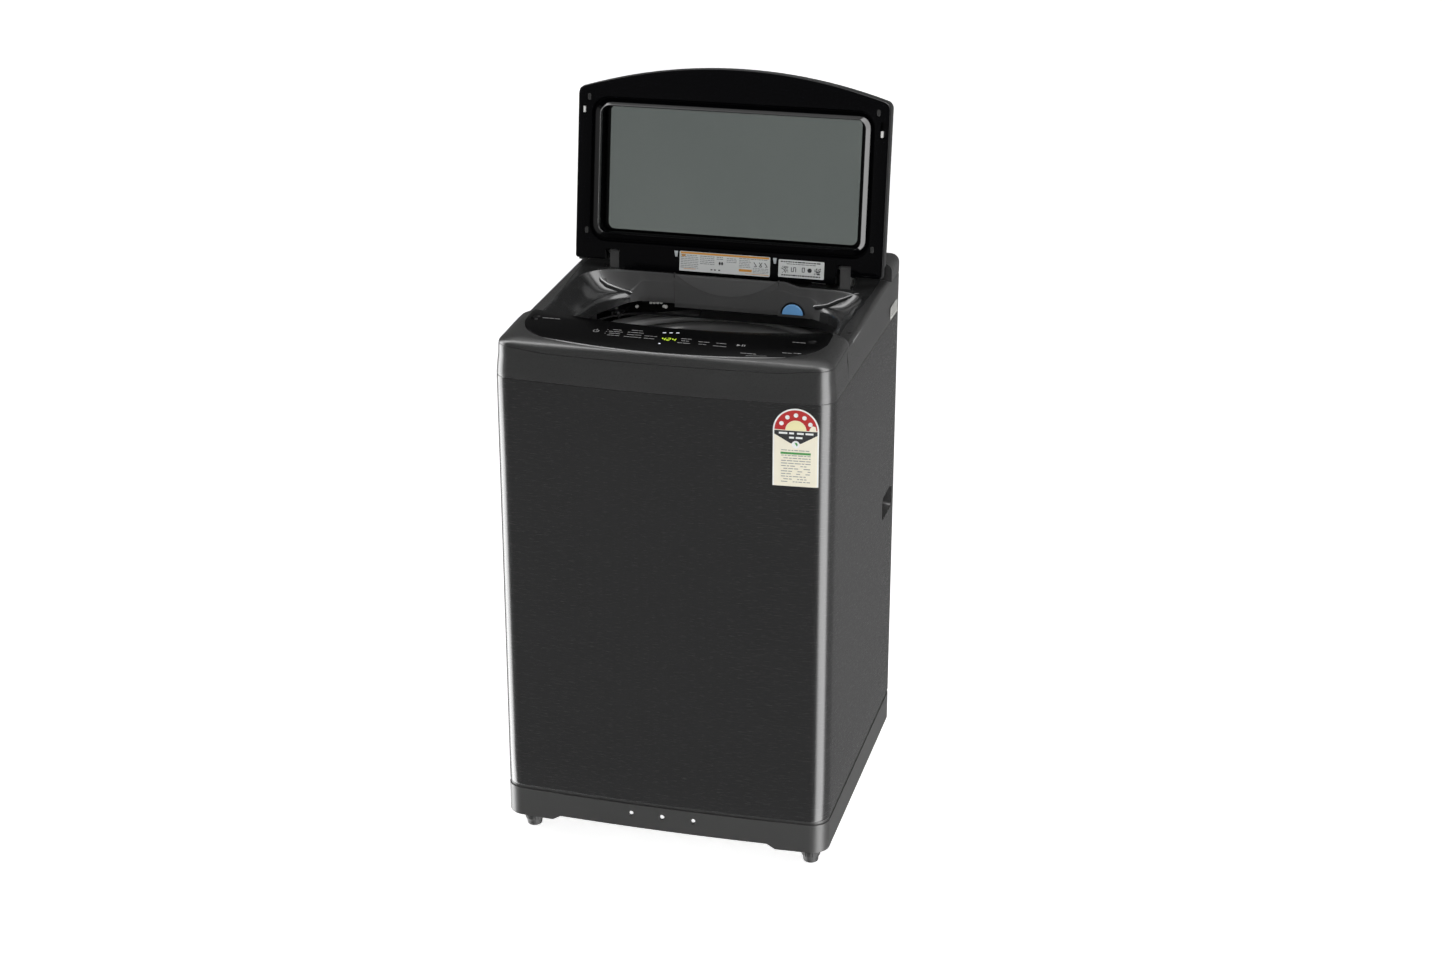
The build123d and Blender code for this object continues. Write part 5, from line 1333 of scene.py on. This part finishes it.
def make_lid_trim():
    """Soft outer bevels for the lid parts and the thin lip along the bowed edge."""
    for name, width in SOFT_EDGES.items():
        obj = NODES[name]
        mod = obj.modifiers.new("soft_edges", "BEVEL")
        mod.width = width * MM
        mod.segments = BEVEL_STEPS
        mod.limit_method = "ANGLE"
        mod.angle_limit = radians(50)
    rings = []
    for k in range(49):
        u = -197 + 400 * k / 48
        v = 299 + 45 * (1 - (u / 287) ** 2) - 0.3
        w = 2.6 * sqrt(max(1 - (abs(u - 3) / 200.5) ** 8, 0.0)) + 0.05
        section = ((-1.0, -w), (0.35, -w * 0.4), (0.35, w * 0.4), (-1.0, w))
        rings.append([(u, v + dv, 17.8 + dw) for dv, dw in section])
    piece("lid_lip", *loft(rings, cap_first=True, cap_last=True), "lip", "lid", place=LID)
    clips = [prism([(u - 3.4, 13.5), (u + 3.4, 13.5), (u + 2.2, 3.0), (u - 1.6, 3.0)], 24.3, 26.0, 0.4)
             for u in (-94, 90)]
    piece("label_clips", *merge(*clips), "clear", "lid", place=LID)


def make_basin_fittings():
    """Water inlets on the rear wall of the basin and the port around the softener flap."""
    parts = []
    for x, z, r in ((-170.0, 876.0, 3.0), (-114.5, 880.0, 3.2), (-118.5, 880.5, 2.6)):
        rings = [[(u, y, v) for u, v in circle(x, z, q, 20)]
                 for q, y in ((r, 148), (r, 143.5), (r * 0.8, 142.6), (0.3, 142.2))]
        parts.append(loft(rings, cap_first=True, cap_last=True))
    for k in range(4):
        x = -143.0 + k * 6.6
        parts.append(prism(rounded(x, 885.5 + k * 0.5, 5.2, 3.8, 1.4, 3), 142.4, 148, 0.5, axis="y"))
    piece("water_inlets", *merge(*parts), "white", "cabinet")
    inner = arc(125, 886, 19.4, 0, 180, 28)
    outer = arc(125, 886, 22.6, 180, 0, 28)
    piece("softener_port", *prism(inner + outer, 138.6, 150, 0.6, axis="y"), "dark", "cabinet")


def make_feet():
    """Knurled knobs of the front feet and the pads at the rear."""
    for side, sx in (("left", -1), ("right", 1)):
        base = [(0.01, 0), (11.5, 0), (13, 1), (13.6, 3), (14, 8), (15.2, 11), (17, 14)]
        rim = [(17, 31), (16, 32.4), (9, 33), (9, 34.5), (4.2, 34.5), (4.0, 60), (4.0, 95.5), (0.01, 96)]
        rings = []
        count = 120
        for r, z in base + rim:
            deep = 0.9 if 14 <= z <= 31 else 0.0
            ring = []
            for k in range(count):
                a = 2 * pi * k / count
                rr = r - deep * max(0.0, cos(a * 20)) ** 2
                ring.append((sx * 258 + rr * cos(a), -240 + rr * sin(a), z))
            rings.append(ring)
        piece(f"foot_{side}_knob", *loft(rings), "rubber", f"foot_{side}", covers=(f"front_foot_{side}",),
              sharp=40)
    profile = [(0.01, 0), (12.8, 0), (14, 1.2), (14, 9), (15.6, 10.6), (17.5, 12), (17.5, 41.4), (0.01, 41.4)]
    pads = [turned(profile, 64, (x, 238), wrap=False) for x in (-258, 258)]
    piece("rear_foot_pads", *merge(*pads), "rubber", "cabinet", covers=("rear_feet",), sharp=40)


def make_rings():
    """Tub cover and balancer ring with rounded, stepped sections, in a grey lightened past their own dark
    grey to paint their highlight streaks.
    """
    cover = [(211, 841), (208.6, 841.5), (208, 844), (209, 848), (213, 850.6), (222, 851), (226, 849),
             (232, 848.6), (240, 849.6), (249, 849.6), (251, 847), (251, 838), (242, 838), (242, 846),
             (214, 846)]
    piece("tub_cover_ring", *turned(cover, 192), "ring", "tub", covers=("tub_cover",), sharp=38)
    ring = [(214, 792), (214, 824), (215, 829), (218, 832.4), (222, 833.4), (224, 831.2), (227, 831.2),
            (229, 833), (233, 832.6), (235.6, 829.6), (236, 826), (236, 804), (231.9, 800), (231.9, 792)]
    piece("balancer_shell", *turned(ring, 192), "ring", "drum", covers=("balancer_ring",), sharp=38)


def make_floor():
    """Wide white floor for the photo's background."""
    verts, faces = loft([[(-12000, y, 0), (12000, y, 0)] for y in (-12000, 12000)], closed=False)
    floor = piece("floor", verts, faces, "floor", None)
    floor.visible_glossy = False


for make in (make_cabinet, make_cover, make_skirt, make_facia, make_marks, make_deck, make_ridges,
             make_drawer_front, make_lid_inner, make_rear_cover, make_lid_labels, make_front_label,
             make_side_label, make_lid_trim, make_basin_fittings, make_feet, make_rings, make_floor):
    make()
